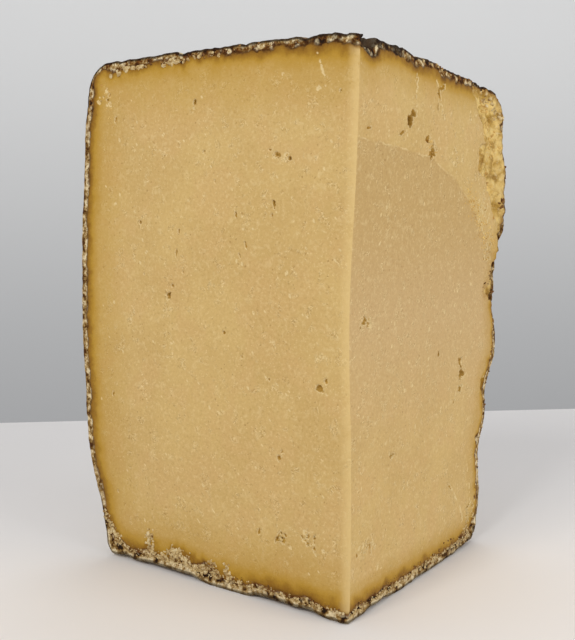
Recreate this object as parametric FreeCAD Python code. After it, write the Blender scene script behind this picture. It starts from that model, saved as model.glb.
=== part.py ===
"""Quarter of an aged Cantal wheel, cut through the wheel's axis: one solid.

Sizes are in millimetres and angles in degrees. +Z is up and the flat base lies on Z = 0. The two cut faces
meet at an upright arris that faces -Y, and the rind wall faces +Y. The origin is the middle of the solid's
box, at the base. The right cut face is the one towards +X.
"""

import FreeCAD, Part
import math
import os

# The wheel and the piece cut from it.
WHEEL_HEIGHT = 310.0
BELLY_RADIUS = 204.0
CUT_ANGLE = 90.0
ARRIS_ON_LEFT = 5.5
ARRIS_ON_RIGHT = 2.5

# The rind's edges. Outside FOOT_FLAT, a share of the belly radius, the base lifts off the board by FOOT_LIFT.
# The head droops towards the right cut face, where the wheel has sagged.
HEAD_ROUND_LEFT = 20.0
HEAD_ROUND_RIGHT = 26.0
FOOT_ROUND = 13.0
FOOT_TURN = 62.0
FOOT_LIFT = 3.5
FOOT_FLAT = 0.74
HEAD_DROOP = 9.0

# The rind's outline on each cut face: (share of the wheel's height, how far inside the belly radius).
# The right one is the more battered; it fades into the left one over RIGHT_REACH degrees of arc.
LEFT_OUTLINE = ((0.0, 25.0), (0.10, 18.0), (0.20, 8.0), (0.50, 1.5), (0.72, 3.0), (0.88, 7.0), (1.0, 11.0))
RIGHT_OUTLINE = (
    (0.0, 36.0), (0.11, 30.0), (0.21, 34.0), (0.27, 25.0), (0.34, 24.0), (0.41, 9.0),
    (0.52, 11.0), (0.63, 4.0), (0.73, -5.0), (0.83, 2.0), (0.90, 5.0), (1.0, 11.0),
)
RIGHT_REACH = 38.0

# Lumps on the rind wall between the cut faces: (height, waves along the arc, waves up the wall, phase).
WALL_LUMPS = ((1.9, 1.5, 1.0, 0.4), (1.4, 3.0, 2.0, 2.1), (0.9, 5.0, 3.0, 4.0), (0.6, 7.0, 5.0, 1.2))
HEAD_SWELL = 1.2
HEAD_WAVES = 2.5

# How finely the skin is sampled before a smooth surface is laid through it.
ARC_STATIONS = 19
WALL_STATIONS = 26
CORNER_STATIONS = 6
HEAD_STATIONS = 12
SKIN_OVERRUN = 5.0
AXIS_CLEARANCE = 0.8

# Where the crust tore instead of being cut, on the right cut face, from the head down:
# (share of the height, centre inside the rind's outline, half width, depth).
TORN_SCOOPS = (
    (0.945, 33.0, 11.0, 3.5),
    (0.900, 25.0, 14.0, 5.5),
    (0.845, 21.0, 19.0, 7.5),
    (0.820, 37.0, 11.0, 5.0),
    (0.760, 17.0, 18.0, 7.0),
    (0.695, 11.0, 13.0, 5.5),
    (0.585, 8.0, 9.0, 6.0),
    (0.555, 18.0, 6.5, 3.0),
)
# Where crust chipped off the head's edge on the right cut face: (distance from the axis, half width, depth).
HEAD_CHIPS = ((15.0, 7.0, 4.5), (66.0, 9.0, 3.0), (93.0, 5.0, 3.5))


def smooth_through(points, at):
    """The value at a place on a smooth curve through (place, value) points that rise in place."""
    places = [p for p, _ in points]
    values = [v for _, v in points]
    last = len(points) - 1
    slopes = []
    for i in range(len(points)):
        low, high = max(i - 1, 0), min(i + 1, last)
        slopes.append((values[high] - values[low]) / (places[high] - places[low]))
    i = min(max(sum(p <= at for p in places) - 1, 0), last - 1)
    span = places[i + 1] - places[i]
    t = (at - places[i]) / span
    from_value = (2 * t**3 - 3 * t**2 + 1) * values[i] + (3 * t**2 - 2 * t**3) * values[i + 1]
    from_slope = (t**3 - 2 * t**2 + t) * slopes[i] + (t**3 - t**2) * slopes[i + 1]
    return from_value + span * from_slope


def eased(share):
    """A share held between 0 and 1 and eased at both ends."""
    t = min(max(share, 0.0), 1.0)
    return t * t * (3 - 2 * t)


def wall_radius(angle, height):
    """The rind wall's distance from the axis."""
    up = height / WHEEL_HEIGHT
    left = eased(angle / RIGHT_REACH)
    inside = (1 - left) * smooth_through(RIGHT_OUTLINE, up) + left * smooth_through(LEFT_OUTLINE, up)
    along = angle / CUT_ANGLE
    lumps = 0.0
    for size, arc_waves, up_waves, phase in WALL_LUMPS:
        around = math.sin(2 * math.pi * arc_waves * along + phase)
        lumps += size * around * math.cos(2 * math.pi * up_waves * up + phase)
    return BELLY_RADIUS - inside + lumps * math.sin(math.pi * along)


def head_height(angle, out):
    """The head's height at a share out from the axis to the wall."""
    droop = HEAD_DROOP * (1 - eased(angle / CUT_ANGLE)) * out**2
    along = angle / CUT_ANGLE
    swell = HEAD_SWELL * math.sin(math.pi * along) * math.sin(math.pi * out) * math.cos(HEAD_WAVES * 6 * out)
    return WHEEL_HEIGHT - droop + swell


def corner(radius, height, size, first_turn, last_turn):
    """Points round a corner of this size, up to just short of its last turn."""
    line = []
    for i in range(CORNER_STATIONS):
        turn = math.radians(first_turn + (last_turn - first_turn) * i / CORNER_STATIONS)
        line.append((radius + size * (math.cos(turn) - 1), height + size * math.sin(turn)))
    return line


def skin_line(angle):
    """Points up the skin at one angle, from just under the base up the wall and over the head to the axis."""
    head_round = HEAD_ROUND_RIGHT + (HEAD_ROUND_LEFT - HEAD_ROUND_RIGHT) * eased(angle / CUT_ANGLE)
    wall_foot = FOOT_ROUND * math.sin(math.radians(FOOT_TURN))
    wall_top = head_height(angle, 1.0) - head_round
    foot_radius, top_radius = wall_radius(angle, wall_foot), wall_radius(angle, wall_top)
    line = corner(foot_radius, wall_foot, FOOT_ROUND, -1.2 * FOOT_TURN, 0)
    for i in range(WALL_STATIONS):
        height = wall_foot + (wall_top - wall_foot) * i / WALL_STATIONS
        line.append((wall_radius(angle, height), height))
    line += corner(top_radius, wall_top, head_round, 0, 90)
    flat = top_radius - head_round
    for i in range(HEAD_STATIONS + 1):
        radius = flat + (AXIS_CLEARANCE - flat) * i / HEAD_STATIONS
        line.append((radius, head_height(angle, radius / flat)))
    return line


def turned(angle, radius, height):
    """A point at an angle round the axis from the right cut face."""
    turn = math.radians(90 - CUT_ANGLE / 2 + angle)
    return FreeCAD.Vector(radius * math.cos(turn), radius * math.sin(turn), height)


def skin_face():
    """The rind's outer skin over head, wall and foot, as one smooth surface that runs past both cuts."""
    first, span = -SKIN_OVERRUN, CUT_ANGLE + 2 * SKIN_OVERRUN
    angles = [first + span * i / (ARC_STATIONS - 1) for i in range(ARC_STATIONS)]
    grid = [[turned(angle, *point) for point in skin_line(angle)] for angle in angles]
    surface = Part.BSplineSurface()
    surface.interpolate(grid)
    return surface.toShape()


def wedge_block():
    """The upright block between the two cuts, with its arris shaved flat and its base on the board."""
    reach = 1.3 * BELLY_RADIUS
    corners = [
        turned(0.0, ARRIS_ON_RIGHT, 0.0),
        turned(0.0, reach, 0.0),
        turned(CUT_ANGLE / 2, reach * math.sqrt(2), 0.0),
        turned(CUT_ANGLE, reach, 0.0),
        turned(CUT_ANGLE, ARRIS_ON_LEFT, 0.0),
    ]
    outline = Part.makePolygon(corners + corners[:1])
    return Part.Face(outline).extrude(FreeCAD.Vector(0, 0, 1.1 * WHEEL_HEIGHT))


def whole_quarter():
    """The quarter wheel with clean cuts: the part of the wedge block that lies within the skin."""
    pieces = wedge_block().generalFuse([skin_face()])[0].Solids
    middle = turned(CUT_ANGLE / 2, BELLY_RADIUS / 2, WHEEL_HEIGHT / 2)
    return next(piece for piece in pieces if piece.isInside(middle, 0.01, False))


def foot_ring():
    """The ring of air under the lifted foot, with a cone for its upper side."""
    inner, outer = FOOT_FLAT * BELLY_RADIUS, 1.2 * BELLY_RADIUS
    slope = FOOT_LIFT / (BELLY_RADIUS - inner)
    under = inner - 10
    points = [(under, -10 * slope), (outer, (outer - inner) * slope), (outer, -5.0), (under, -5.0)]
    outline = Part.makePolygon([FreeCAD.Vector(x, 0, z) for x, z in points + points[:1]])
    return Part.Face(outline).revolve(FreeCAD.Vector(0, 0, 0), FreeCAD.Vector(0, 0, 1), 360)


def ball_over(centre, outwards, half_width, depth):
    """A ball that leaves a dish of this half width and depth in a flat face at centre."""
    radius = (half_width**2 + depth**2) / (2 * depth)
    return Part.makeSphere(radius, centre + outwards * (radius - depth))


def tear():
    """The dishes where the crust tore and chipped, on the right cut face."""
    outwards = turned(-90.0, 1.0, 0.0)
    balls = []
    for up, inside, half_width, depth in TORN_SCOOPS:
        height = up * WHEEL_HEIGHT
        centre = turned(0.0, wall_radius(0.0, height) - inside, height)
        balls.append(ball_over(centre, outwards, half_width, depth))
    flat = wall_radius(0.0, head_height(0.0, 1.0) - HEAD_ROUND_RIGHT) - HEAD_ROUND_RIGHT
    for radius, half_width, depth in HEAD_CHIPS:
        centre = turned(0.0, radius, head_height(0.0, radius / flat))
        slanting = (outwards + FreeCAD.Vector(0, 0, 1)).normalize()
        balls.append(ball_over(centre, slanting, half_width, depth))
    return balls


def quarter_wheel():
    """The finished piece, with its box centred over the origin."""
    body = whole_quarter().cut(foot_ring())
    for ball in tear():
        body = body.cut(ball)
    box = body.optimalBoundingBox(False, False)
    body.translate(FreeCAD.Vector(-box.Center.x, -box.Center.y, 0))
    return body.Solids[0] if len(body.Solids) == 1 else body


os.makedirs("parts", exist_ok=True)
cheese = quarter_wheel()
print("solids", len(cheese.Solids), "valid", cheese.isValid(), "litres", round(cheese.Volume / 1e6, 3))
print("box", cheese.optimalBoundingBox(False, False))
cheese.exportStep("parts/quarter_wheel.step")
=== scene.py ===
"""The looks of a quarter wheel of aged Cantal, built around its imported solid.

Two cut faces of dense, faintly grained paste meet at an upright arris. A dry, battered crust covers the head,
the foot and the wall, and its broken edge shows as a granular band round both cut faces. Sizes named in the
classes are in millimetres; meshes are in metres, in the solid's own frame.
"""

import logging
import math
import random
from collections.abc import Sequence
from dataclasses import dataclass, field, fields
from enum import Enum

import bmesh
import bpy
from mathutils import Matrix, Vector, noise
from mathutils.bvhtree import BVHTree
from mathutils.kdtree import KDTree


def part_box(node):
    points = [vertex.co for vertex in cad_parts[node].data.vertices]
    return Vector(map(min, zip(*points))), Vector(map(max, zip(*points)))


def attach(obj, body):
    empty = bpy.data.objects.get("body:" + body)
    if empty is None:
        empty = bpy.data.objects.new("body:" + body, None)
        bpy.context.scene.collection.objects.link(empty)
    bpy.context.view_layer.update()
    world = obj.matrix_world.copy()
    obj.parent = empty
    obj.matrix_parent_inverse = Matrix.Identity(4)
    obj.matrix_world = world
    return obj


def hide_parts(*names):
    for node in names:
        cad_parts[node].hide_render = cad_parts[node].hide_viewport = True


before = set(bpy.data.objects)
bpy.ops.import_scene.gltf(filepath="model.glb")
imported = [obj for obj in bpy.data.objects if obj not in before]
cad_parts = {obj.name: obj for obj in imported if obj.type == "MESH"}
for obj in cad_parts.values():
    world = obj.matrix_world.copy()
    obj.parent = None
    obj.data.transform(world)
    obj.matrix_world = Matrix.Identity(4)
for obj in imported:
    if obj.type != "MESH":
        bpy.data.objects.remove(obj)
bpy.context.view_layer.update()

LOG = logging.getLogger("cantal")
NODE = "quarter_wheel"
MM = 0.001
EXPORT_MAP = "OFBake"
CHART_WIDE = 210.0
CHART_TALL = 312.0


# ---------------------------------------------------------------- small helpers


def smooth_step(low: float, high: float, value: float) -> float:
    """0 below low, 1 above high, eased between."""
    t = min(max((value - low) / (high - low), 0.0), 1.0)
    return t * t * (3.0 - 2.0 * t)


def fade(low: float, high: float, value: float) -> float:
    """1 below low, 0 above high, eased between."""
    return 1.0 - smooth_step(low, high, value)


def blend(a: float, b: float, share: float) -> float:
    """The value a share of the way from a to b."""
    return a + (b - a) * share


def wander(place: Vector, size: float, octaves: int = 3, seed: float = 0.0) -> float:
    """Cloudy noise around 0, about -1 to 1.

    Args:
        place: where, in millimetres.
        size: the width of the largest cloud, in millimetres.
        octaves: how many finer layers are added.
        seed: moves the whole pattern elsewhere.

    Returns:
        The noise at the place.
    """
    moved = place / size + Vector((seed * 17.3, seed * 5.7, seed * 11.1))
    return noise.fractal(moved, 1.0, 2.0, octaves)


def cell_distance(place: Vector, size: float, seed: float = 0.0) -> float:
    """The distance to the nearest cell's centre, as a share of the cell size."""
    moved = place / size + Vector((seed * 3.1, seed * 9.7, seed * 1.9))
    return noise.voronoi(moved, distance_metric="DISTANCE", exponent=2.5)[0][0]


def colour(red: int, green: int, blue: int) -> tuple[float, float, float, float]:
    """A screen colour of 0 to 255 as the linear colour that renders as it."""

    def linear(part: float) -> float:
        """One channel as linear light."""
        return part / 12.92 if part <= 0.04045 else ((part + 0.055) / 1.055) ** 2.4

    return (linear(red / 255), linear(green / 255), linear(blue / 255), 1.0)


@dataclass(frozen=True)
class Window:
    """A window of a piece's OFBake map, in shares of the map.

    Attributes:
        left: where it starts across the map.
        low: where it starts up the map.
        wide: its width.
        tall: its height.
    """

    left: float
    low: float
    wide: float
    tall: float

    def spot(self, across: float, up: float) -> tuple[float, float]:
        """The map's spot at shares across and up the window."""
        return self.left + self.wide * across, self.low + self.tall * up


# ---------------------------------------------------------------- the solid, measured


class Side(Enum):
    """The two cut faces, named as seen from in front of the arris."""

    LEFT = -1
    RIGHT = 1


@dataclass(frozen=True)
class CutPlane:
    """One cut face's plane: s runs out from the wheel's axis, z up, and depth back into the paste."""

    side: Side
    axis: Vector

    @property
    def along(self) -> Vector:
        """The direction of s."""
        return Vector((self.side.value, 1.0, 0.0)).normalized()

    @property
    def outward(self) -> Vector:
        """The face's outward normal."""
        return Vector((self.side.value, -1.0, 0.0)).normalized()

    def point(self, s: float, z: float, depth: float = 0.0) -> Vector:
        """The point at s, z and depth, all in millimetres."""
        return self.axis + MM * (self.along * s - self.outward * depth + Vector((0, 0, z)))

    def read(self, point: Vector) -> tuple[float, float, float]:
        """A point's s, z and depth in millimetres."""
        away = (point - self.axis) / MM
        return away.dot(self.along), away.z, -away.dot(self.outward)


class Wheel:
    """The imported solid, measured by casting rays at it, clear of the torn places at its cut faces.

    Attributes:
        CLEAR_DEG: how far from a cut face it is measured, in degrees.
        CLEAR_MM: how far from the axis its head and foot are measured.
        HEAD_ROUND: how far in the head's rounded edge has its centre, and how far down it reaches.
        FOOT_ROUND: the same for the foot's rounded edge, upwards.
        FLAT_MM: how far in from the wall the head and the foot are flat.
        height: its height.
        axis: the foot of the wheel's axis, in metres.
        tree: its surface.
        planes: its two cut planes.
    """

    CLEAR_DEG = 3.2
    CLEAR_MM = 7.0
    HEAD_ROUND = (22.0, 34.0)
    FOOT_ROUND = (11.0, 20.0)
    FLAT_MM = 40.0

    def __init__(self, node: bpy.types.Object) -> None:
        """Reads the solid.

        Args:
            node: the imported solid's object.
        """
        low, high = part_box(NODE)
        self.height = (high.z - low.z) / MM
        root = math.sqrt(0.5)
        right = max((v.co.x - v.co.y) * root for v in node.data.vertices)
        left = max((-v.co.x - v.co.y) * root for v in node.data.vertices)
        self.axis = Vector(((right - left) * root, -(right + left) * root, 0.0))
        self.tree = BVHTree.FromPolygons(
            [v.co for v in node.data.vertices], [tuple(p.vertices) for p in node.data.polygons]
        )
        self.planes = {side: CutPlane(side, self.axis) for side in Side}

    def spoke(self, degrees: float) -> Vector:
        """The direction out from the axis, 0 on the right cut face and 90 on the left one."""
        turn = math.radians(45.0 + degrees)
        return Vector((math.cos(turn), math.sin(turn), 0.0))

    def _clear(self, degrees: float) -> float:
        """The nearest angle that stays clear of the torn places."""
        return min(max(degrees, self.CLEAR_DEG), 90.0 - self.CLEAR_DEG)

    def wall(self, degrees: float, z: float) -> float:
        """The wall's distance from the axis, in millimetres."""
        out = self.spoke(self._clear(degrees))
        start = self.axis + out * 0.4 + Vector((0, 0, z * MM))
        hit = self.tree.ray_cast(start, -out)[0]
        return (hit - self.axis).dot(out) / MM

    def _upright(self, radius: float, degrees: float, top: bool) -> float:
        """The head's or the foot's height at a radius, in millimetres."""
        out = self.spoke(self._clear(degrees))
        foot = self.axis + out * max(radius, self.CLEAR_MM) * MM
        start = foot + Vector((0, 0, 1.0 if top else -1.0))
        hit = self.tree.ray_cast(start, Vector((0, 0, -1 if top else 1)))[0]
        return hit.z / MM

    def head(self, radius: float, degrees: float) -> float:
        """The head's height."""
        return self._upright(radius, degrees, True)

    def foot(self, radius: float, degrees: float) -> float:
        """The underside's height."""
        return self._upright(radius, degrees, False)

    def rim(self, degrees: float, top: bool) -> tuple[float, float]:
        """Where the head's or the foot's rounded edge faces half outwards.

        Args:
            degrees: the angle round the axis.
            top: True for the head's edge.

        Returns:
            Its distance from the axis and its height, in millimetres.
        """
        out = self.spoke(self._clear(degrees))
        up = Vector((0, 0, 1.0 if top else -1.0))
        inset, ends = self.HEAD_ROUND if top else self.FOOT_ROUND
        side = self.wall(degrees, self.height - ends if top else ends)
        level = (self.head if top else self.foot)(side - self.FLAT_MM, degrees)
        centre = self.axis + out * (side - inset) * MM + Vector((0, 0, (level - up.z * inset) * MM))
        away = (out + up).normalized()
        hit = self.tree.ray_cast(centre + away * 0.1, -away)[0]
        return (hit - self.axis).dot(out) / MM, hit.z / MM


# ---------------------------------------------------------------- relief of the cut faces


@dataclass(frozen=True)
class Eye:
    """A small opening in the paste.

    Attributes:
        s: distance out from the axis.
        z: height.
        wide: half its width.
        tall: half its height.
        deep: its depth.
        turn: how far its long axis leans, in degrees.
        rag: how ragged its rim is, 0 to 1.
    """

    s: float
    z: float
    wide: float
    tall: float
    deep: float
    turn: float = 0.0
    rag: float = 0.42

    @property
    def reach(self) -> float:
        """The largest distance at which it is felt."""
        return 1.6 * max(self.wide, self.tall) + 0.6

    def depth(self, s: float, z: float) -> float:
        """How deep it is at a place."""
        ds, dz = s - self.s, z - self.z
        if abs(ds) > self.reach or abs(dz) > self.reach:
            return 0.0
        turn = math.radians(self.turn)
        across = (ds * math.cos(turn) + dz * math.sin(turn)) / self.wide
        up = (dz * math.cos(turn) - ds * math.sin(turn)) / self.tall
        size = 0.65 * max(self.wide, self.tall)
        ragged = self.rag * wander(Vector((s, z, self.s)), size, 3, self.z)
        return self.deep * fade(0.45, 0.95, math.hypot(across, up) + ragged)


@dataclass(frozen=True)
class Crack:
    """A thin crack that runs through a few places on the face.

    Attributes:
        REACH: how far from its path it is looked for.
        path: the (s, z) places it runs through.
        wide: half its width.
        deep: its depth.
    """

    REACH = 4.0

    path: tuple[tuple[float, float], ...]
    wide: float
    deep: float

    def depth(self, s: float, z: float) -> float:
        """How deep it is at a place."""
        best, reach = math.inf, self.REACH
        for (s0, z0), (s1, z1) in zip(self.path, self.path[1:]):
            if s < min(s0, s1) - reach or s > max(s0, s1) + reach:
                continue
            if z < min(z0, z1) - reach or z > max(z0, z1) + reach:
                continue
            length = (s1 - s0) ** 2 + (z1 - z0) ** 2
            t = min(max(((s - s0) * (s1 - s0) + (z - z0) * (z1 - z0)) / length, 0.0), 1.0)
            best = min(best, math.hypot(s - blend(s0, s1, t), z - blend(z0, z1, t)))
        if best > reach:
            return 0.0
        bend = 0.9 * wander(Vector((s, z, 3.0)), 5.0, 2)
        broken = smooth_step(-0.35, 0.1, wander(Vector((s, z, 9.0)), 7.0, 2, 2.0))
        return self.deep * broken * fade(0.2, 1.0, abs(best + bend) / self.wide)


def crumbled(s: float, z: float, wide: float, tall: float, deep: float, count: int, seed: int) -> list[Eye]:
    """A loose cluster of small ragged openings.

    Args:
        s: the cluster's middle, out from the axis.
        z: the cluster's middle height.
        wide: half its width.
        tall: half its height.
        deep: the depth of its deepest openings.
        count: how many openings it has.
        seed: which arrangement.

    Returns:
        The openings.
    """
    chance = random.Random(seed)
    found = []
    for _ in range(count):
        size = chance.uniform(0.7, 1.7)
        found.append(
            Eye(
                s + wide * chance.uniform(-1, 1) * chance.uniform(0.3, 1),
                z + tall * chance.uniform(-1, 1) * chance.uniform(0.3, 1),
                size * chance.uniform(0.6, 1.2),
                size,
                deep * chance.uniform(0.4, 1.0),
                chance.uniform(-60, 60),
                0.6,
            )
        )
    return found


def scattered(
    seed: int, count: int, sizes: tuple[float, float], out: float, up: float, tall: float
) -> list[Eye]:
    """Fine openings strewn over a whole face.

    Args:
        seed: which arrangement.
        count: how many there are.
        sizes: their smallest and largest half width.
        out: how far out from the axis they reach.
        up: how high up they reach.
        tall: how many times taller than wide they are at most.

    Returns:
        The openings.
    """
    chance = random.Random(seed)
    found = []
    for _ in range(count):
        size = chance.uniform(*sizes)
        found.append(
            Eye(
                chance.uniform(8, out),
                chance.uniform(16, up),
                size,
                size * chance.uniform(1, tall),
                chance.uniform(0.35, 0.8),
                chance.uniform(-35, 35),
                0.3,
            )
        )
    return found


def strayed(z: float) -> float:
    """How far the knife strayed behind the right cut's plane at the arris, at a height, in millimetres."""
    deepest, at, spread = 3.4, 165.0, 46.0
    return deepest * math.exp(-0.5 * ((z - at) / spread) ** 2)


@dataclass(frozen=True)
class Spot:
    """What one place on a cut face is like, in millimetres.

    Attributes:
        depth: how far it lies behind the face's plane.
        inside: how far it is inside the crust's band; negative within the band.
        skin: how far it is from the skin.
        zone: how wide the brown zone inside the band is there.
        hollow: how deep its opening is.
        torn: 1 where the crust tore away.
        crevice: 1 at the bottoms of the tear, where shade is painted into the creases.
        below: 1 below the crescent step.
        char: 1 where the crust is nearly black.
    """

    depth: float
    inside: float
    skin: float
    zone: float
    hollow: float
    torn: float
    crevice: float
    below: float
    char: float


@dataclass
class Face:
    """One cut face's relief and marks, in millimetres of s and z.

    Attributes:
        SQUARE: the side of the squares that the openings are sorted into.
        TABLE: how far out the head's and the foot's heights are looked up.
        NEAR_SKIN: how near the skin a place has to be for the crust to matter.
        plane: the face's plane.
        wheel: the measured solid.
        strip: how far from the axis this face starts, where the arris is shaved.
        eyes: its openings.
        cracks: its cracks.
        seed: tells its patterns from the other face's.
    """

    SQUARE = 8
    TABLE = 176
    NEAR_SKIN = 60.0

    plane: CutPlane
    wheel: Wheel
    strip: float
    eyes: list[Eye] = field(default_factory=list)
    cracks: list[Crack] = field(default_factory=list)
    seed: float = 0.0

    def __post_init__(self) -> None:
        """Looks up the outline once and sorts the openings into squares, so that a place finds its own."""
        degrees = 0.0 if self.plane.side is Side.RIGHT else 90.0
        top = self.wheel.height - 28.0
        self._walls = [self.wheel.wall(degrees, min(float(z), top)) for z in range(1, int(self.wheel.height))]
        self._heads = [self.wheel.head(float(s), degrees) for s in range(self.TABLE)]
        self._feet = [self.wheel.foot(float(s), degrees) for s in range(self.TABLE)]
        self._squares: dict[tuple[int, int], list[Eye]] = {}
        for eye in self.eyes:
            (left, low), (right, high) = (
                self._square(eye.s + sign * eye.reach, eye.z + sign * eye.reach) for sign in (-1, 1)
            )
            for column in range(left, right + 1):
                for row in range(low, high + 1):
                    self._squares.setdefault((column, row), []).append(eye)

    def _square(self, s: float, z: float) -> tuple[int, int]:
        """The square that a place lies in."""
        return int(s // self.SQUARE), int(z // self.SQUARE)

    @staticmethod
    def _look_up(table: list[float], at: float) -> float:
        """A value between two entries of a table with one entry a millimetre."""
        at = min(max(at, 0.0), len(table) - 1.001)
        low = int(at)
        return blend(table[low], table[low + 1], at - low)

    def wall_at(self, z: float) -> float:
        """The wall's distance from the axis at a height."""
        return self._look_up(self._walls, z - 1.0)

    def outline(self, s: float, z: float) -> tuple[float, float, float]:
        """Distances in from the wall, the head and the foot."""
        return self.wall_at(z) - s, self._look_up(self._heads, s) - z, z - self._look_up(self._feet, s)

    def crust_width(self, s: float, z: float, sides: tuple[float, float, float]) -> tuple[float, float]:
        """How wide the crust's cut band and the brown zone inside it are near a place."""
        raise NotImplementedError

    def torn(self, s: float, z: float) -> float:
        """1 where the crust tore away instead of being cut, 0 elsewhere."""
        return 0.0

    def shape(self, s: float, z: float, torn: float) -> float:
        """Broad relief that this face alone has."""
        return 0.0

    def crease(self, place: Vector) -> float:
        """1 between the lumps of a torn place, 0 on top of them."""
        return 0.0

    def below(self, s: float, z: float) -> float:
        """1 below the crescent step."""
        return 0.0

    def char(self, s: float, z: float) -> float:
        """1 where the crust is nearly black."""
        return 0.0

    def chamfer(self, s: float, z: float) -> float:
        """How far the worn arris lies behind this face's plane."""
        return 0.0

    def bow(self, s: float, z: float) -> float:
        """How far the knife strayed behind this face's plane."""
        return 0.0

    def arris_distance(self, s: float, z: float) -> float:
        """How far from the arris a place is, for the painted highlight along it."""
        return 4.4 + 1.3 * (s - self.strip)

    def trace(self, line: list[Vector]) -> None:
        """Learns where the worn crust really ends on this face.

        Args:
            line: points along the foot, the wall and the head.
        """
        places = [Vector((*self.plane.read(point)[:2], 0.0)) for point in line]
        parts = 5
        dense = [a.lerp(b, k / parts) for a, b in zip(places, places[1:]) for k in range(parts)]
        self._skin = KDTree(len(dense))
        for index, place in enumerate(dense):
            self._skin.insert(place, index)
        self._skin.balance()
        self._line = dense

    def skin_distance(self, s: float, z: float) -> float:
        """The distance in from the skin; negative clearly outside it."""
        at = Vector((s, z, 0.0))
        near, index, distance = self._skin.find(at)
        ahead = self._line[min(index + 2, len(self._line) - 1)] - self._line[max(index - 2, 0)]
        outside = distance > 0.4 and ahead.cross(at - near).z < 0.0
        return -distance if outside else distance

    def hollow(self, s: float, z: float) -> float:
        """How deep the openings and cracks are at a place."""
        deepest = 0.0
        for eye in self._squares.get(self._square(s, z), ()):
            deepest = max(deepest, eye.depth(s, z))
        for crack in self.cracks:
            deepest = max(deepest, crack.depth(s, z))
        return deepest

    def spot(self, s: float, z: float) -> Spot:
        """Everything about one place on the face.

        Args:
            s: distance out from the axis.
            z: height.

        Returns:
            What the place is like.
        """
        place = Vector((s, z, 31.0 * self.plane.side.value))
        sides = self.outline(s, z)
        skin = self.skin_distance(s, z)
        hollow, torn = self.hollow(s, z), self.torn(s, z)
        wire = 0.22 * (1.0 + wander(place, 60.0, 2)) + 0.08 * (1.0 + wander(place, 7.0, 3, 3.0))
        shape = self.shape(s, z, torn)
        crevice = torn * self.crease(place)
        depth = wire * smooth_step(0.0, 8.0, s) + hollow + shape + self.bow(s, z)
        inside, zone = 99.0, 5.0
        if skin < self.NEAR_SKIN:
            band, zone = self.crust_width(s, z, sides)
            band = blend(band, 1.6, 0.75 * torn)
            inside = skin - band - 1.3 * wander(place, 6.0, 4, 5.0)
            if inside < 1.0:
                in_crust = fade(-0.8, 0.6, inside)
                near = cell_distance(place, 2.6, self.seed)
                lump = cell_distance(place, 5.5, self.seed + 3.0)
                grains = 0.2 + 0.9 * near + 1.1 * lump + 0.4 * (1.0 + wander(place, 4.0, 3, 7.0))
                depth += in_crust * grains * 0.42
            depth += 0.6 * fade(0.0, 1.5, skin) ** 2
        return Spot(depth, inside, skin, zone, hollow, torn, crevice, self.below(s, z), self.char(s, z))


class LeftFace(Face):
    """The large, calm cut face, with a wide band of crust along its foot and the shaved arris at its edge.

    Attributes:
        SHAVED: how deep the arris is worn.
    """

    SHAVED = 2.5

    def crust_width(self, s: float, z: float, sides: tuple[float, float, float]) -> tuple[float, float]:
        """A narrow band at the wall, wider at the head and widest at the foot."""
        _, head, foot = sides
        place = Vector((s, z, 1.0))
        at_wall = 5.5 + 1.0 * wander(place, 24.0, 3)
        at_head = 4.6 + 2.6 * wander(place, 15.0, 4, 1.0)
        heaped = smooth_step(66.0, 84.0, s) * fade(142.0, 158.0, s)
        at_foot = 6.2 + 1.2 * wander(place, 14.0, 3, 2.0)
        at_foot += heaped * max(0.0, 3.0 + 7.0 * wander(place, 11.0, 3, 4.0))
        corner = smooth_step(158.0, 170.0, s) * fade(14.0, 26.0, z)
        near_head, near_foot = fade(8.0, 20.0, head), fade(14.0, 28.0, foot)
        width = blend(blend(at_wall, at_head, near_head), at_foot, near_foot)
        width += corner * max(0.0, 2.5 + 5.0 * wander(place, 8.0, 3, 8.0))
        zone = blend(blend(3.5, 2.8 + 1.2 * fade(20.0, 80.0, s), near_head), 4.4, near_foot)
        return max(width, 1.2), zone

    def char(self, s: float, z: float) -> float:
        """The crust is dark brown at the head beside the arris."""
        return 0.6 * fade(24.0, 46.0, s) * smooth_step(285.0, 297.0, z)

    def chamfer(self, s: float, z: float) -> float:
        """The arris is worn round, mostly on this side."""
        share = min(max(self.arris_distance(s, z), 0.0) / self.strip, 1.0)
        return self.SHAVED * (1.0 - share) ** 2

    def arris_distance(self, s: float, z: float) -> float:
        """How far from the arris a place is."""
        return s - strayed(z)


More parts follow.
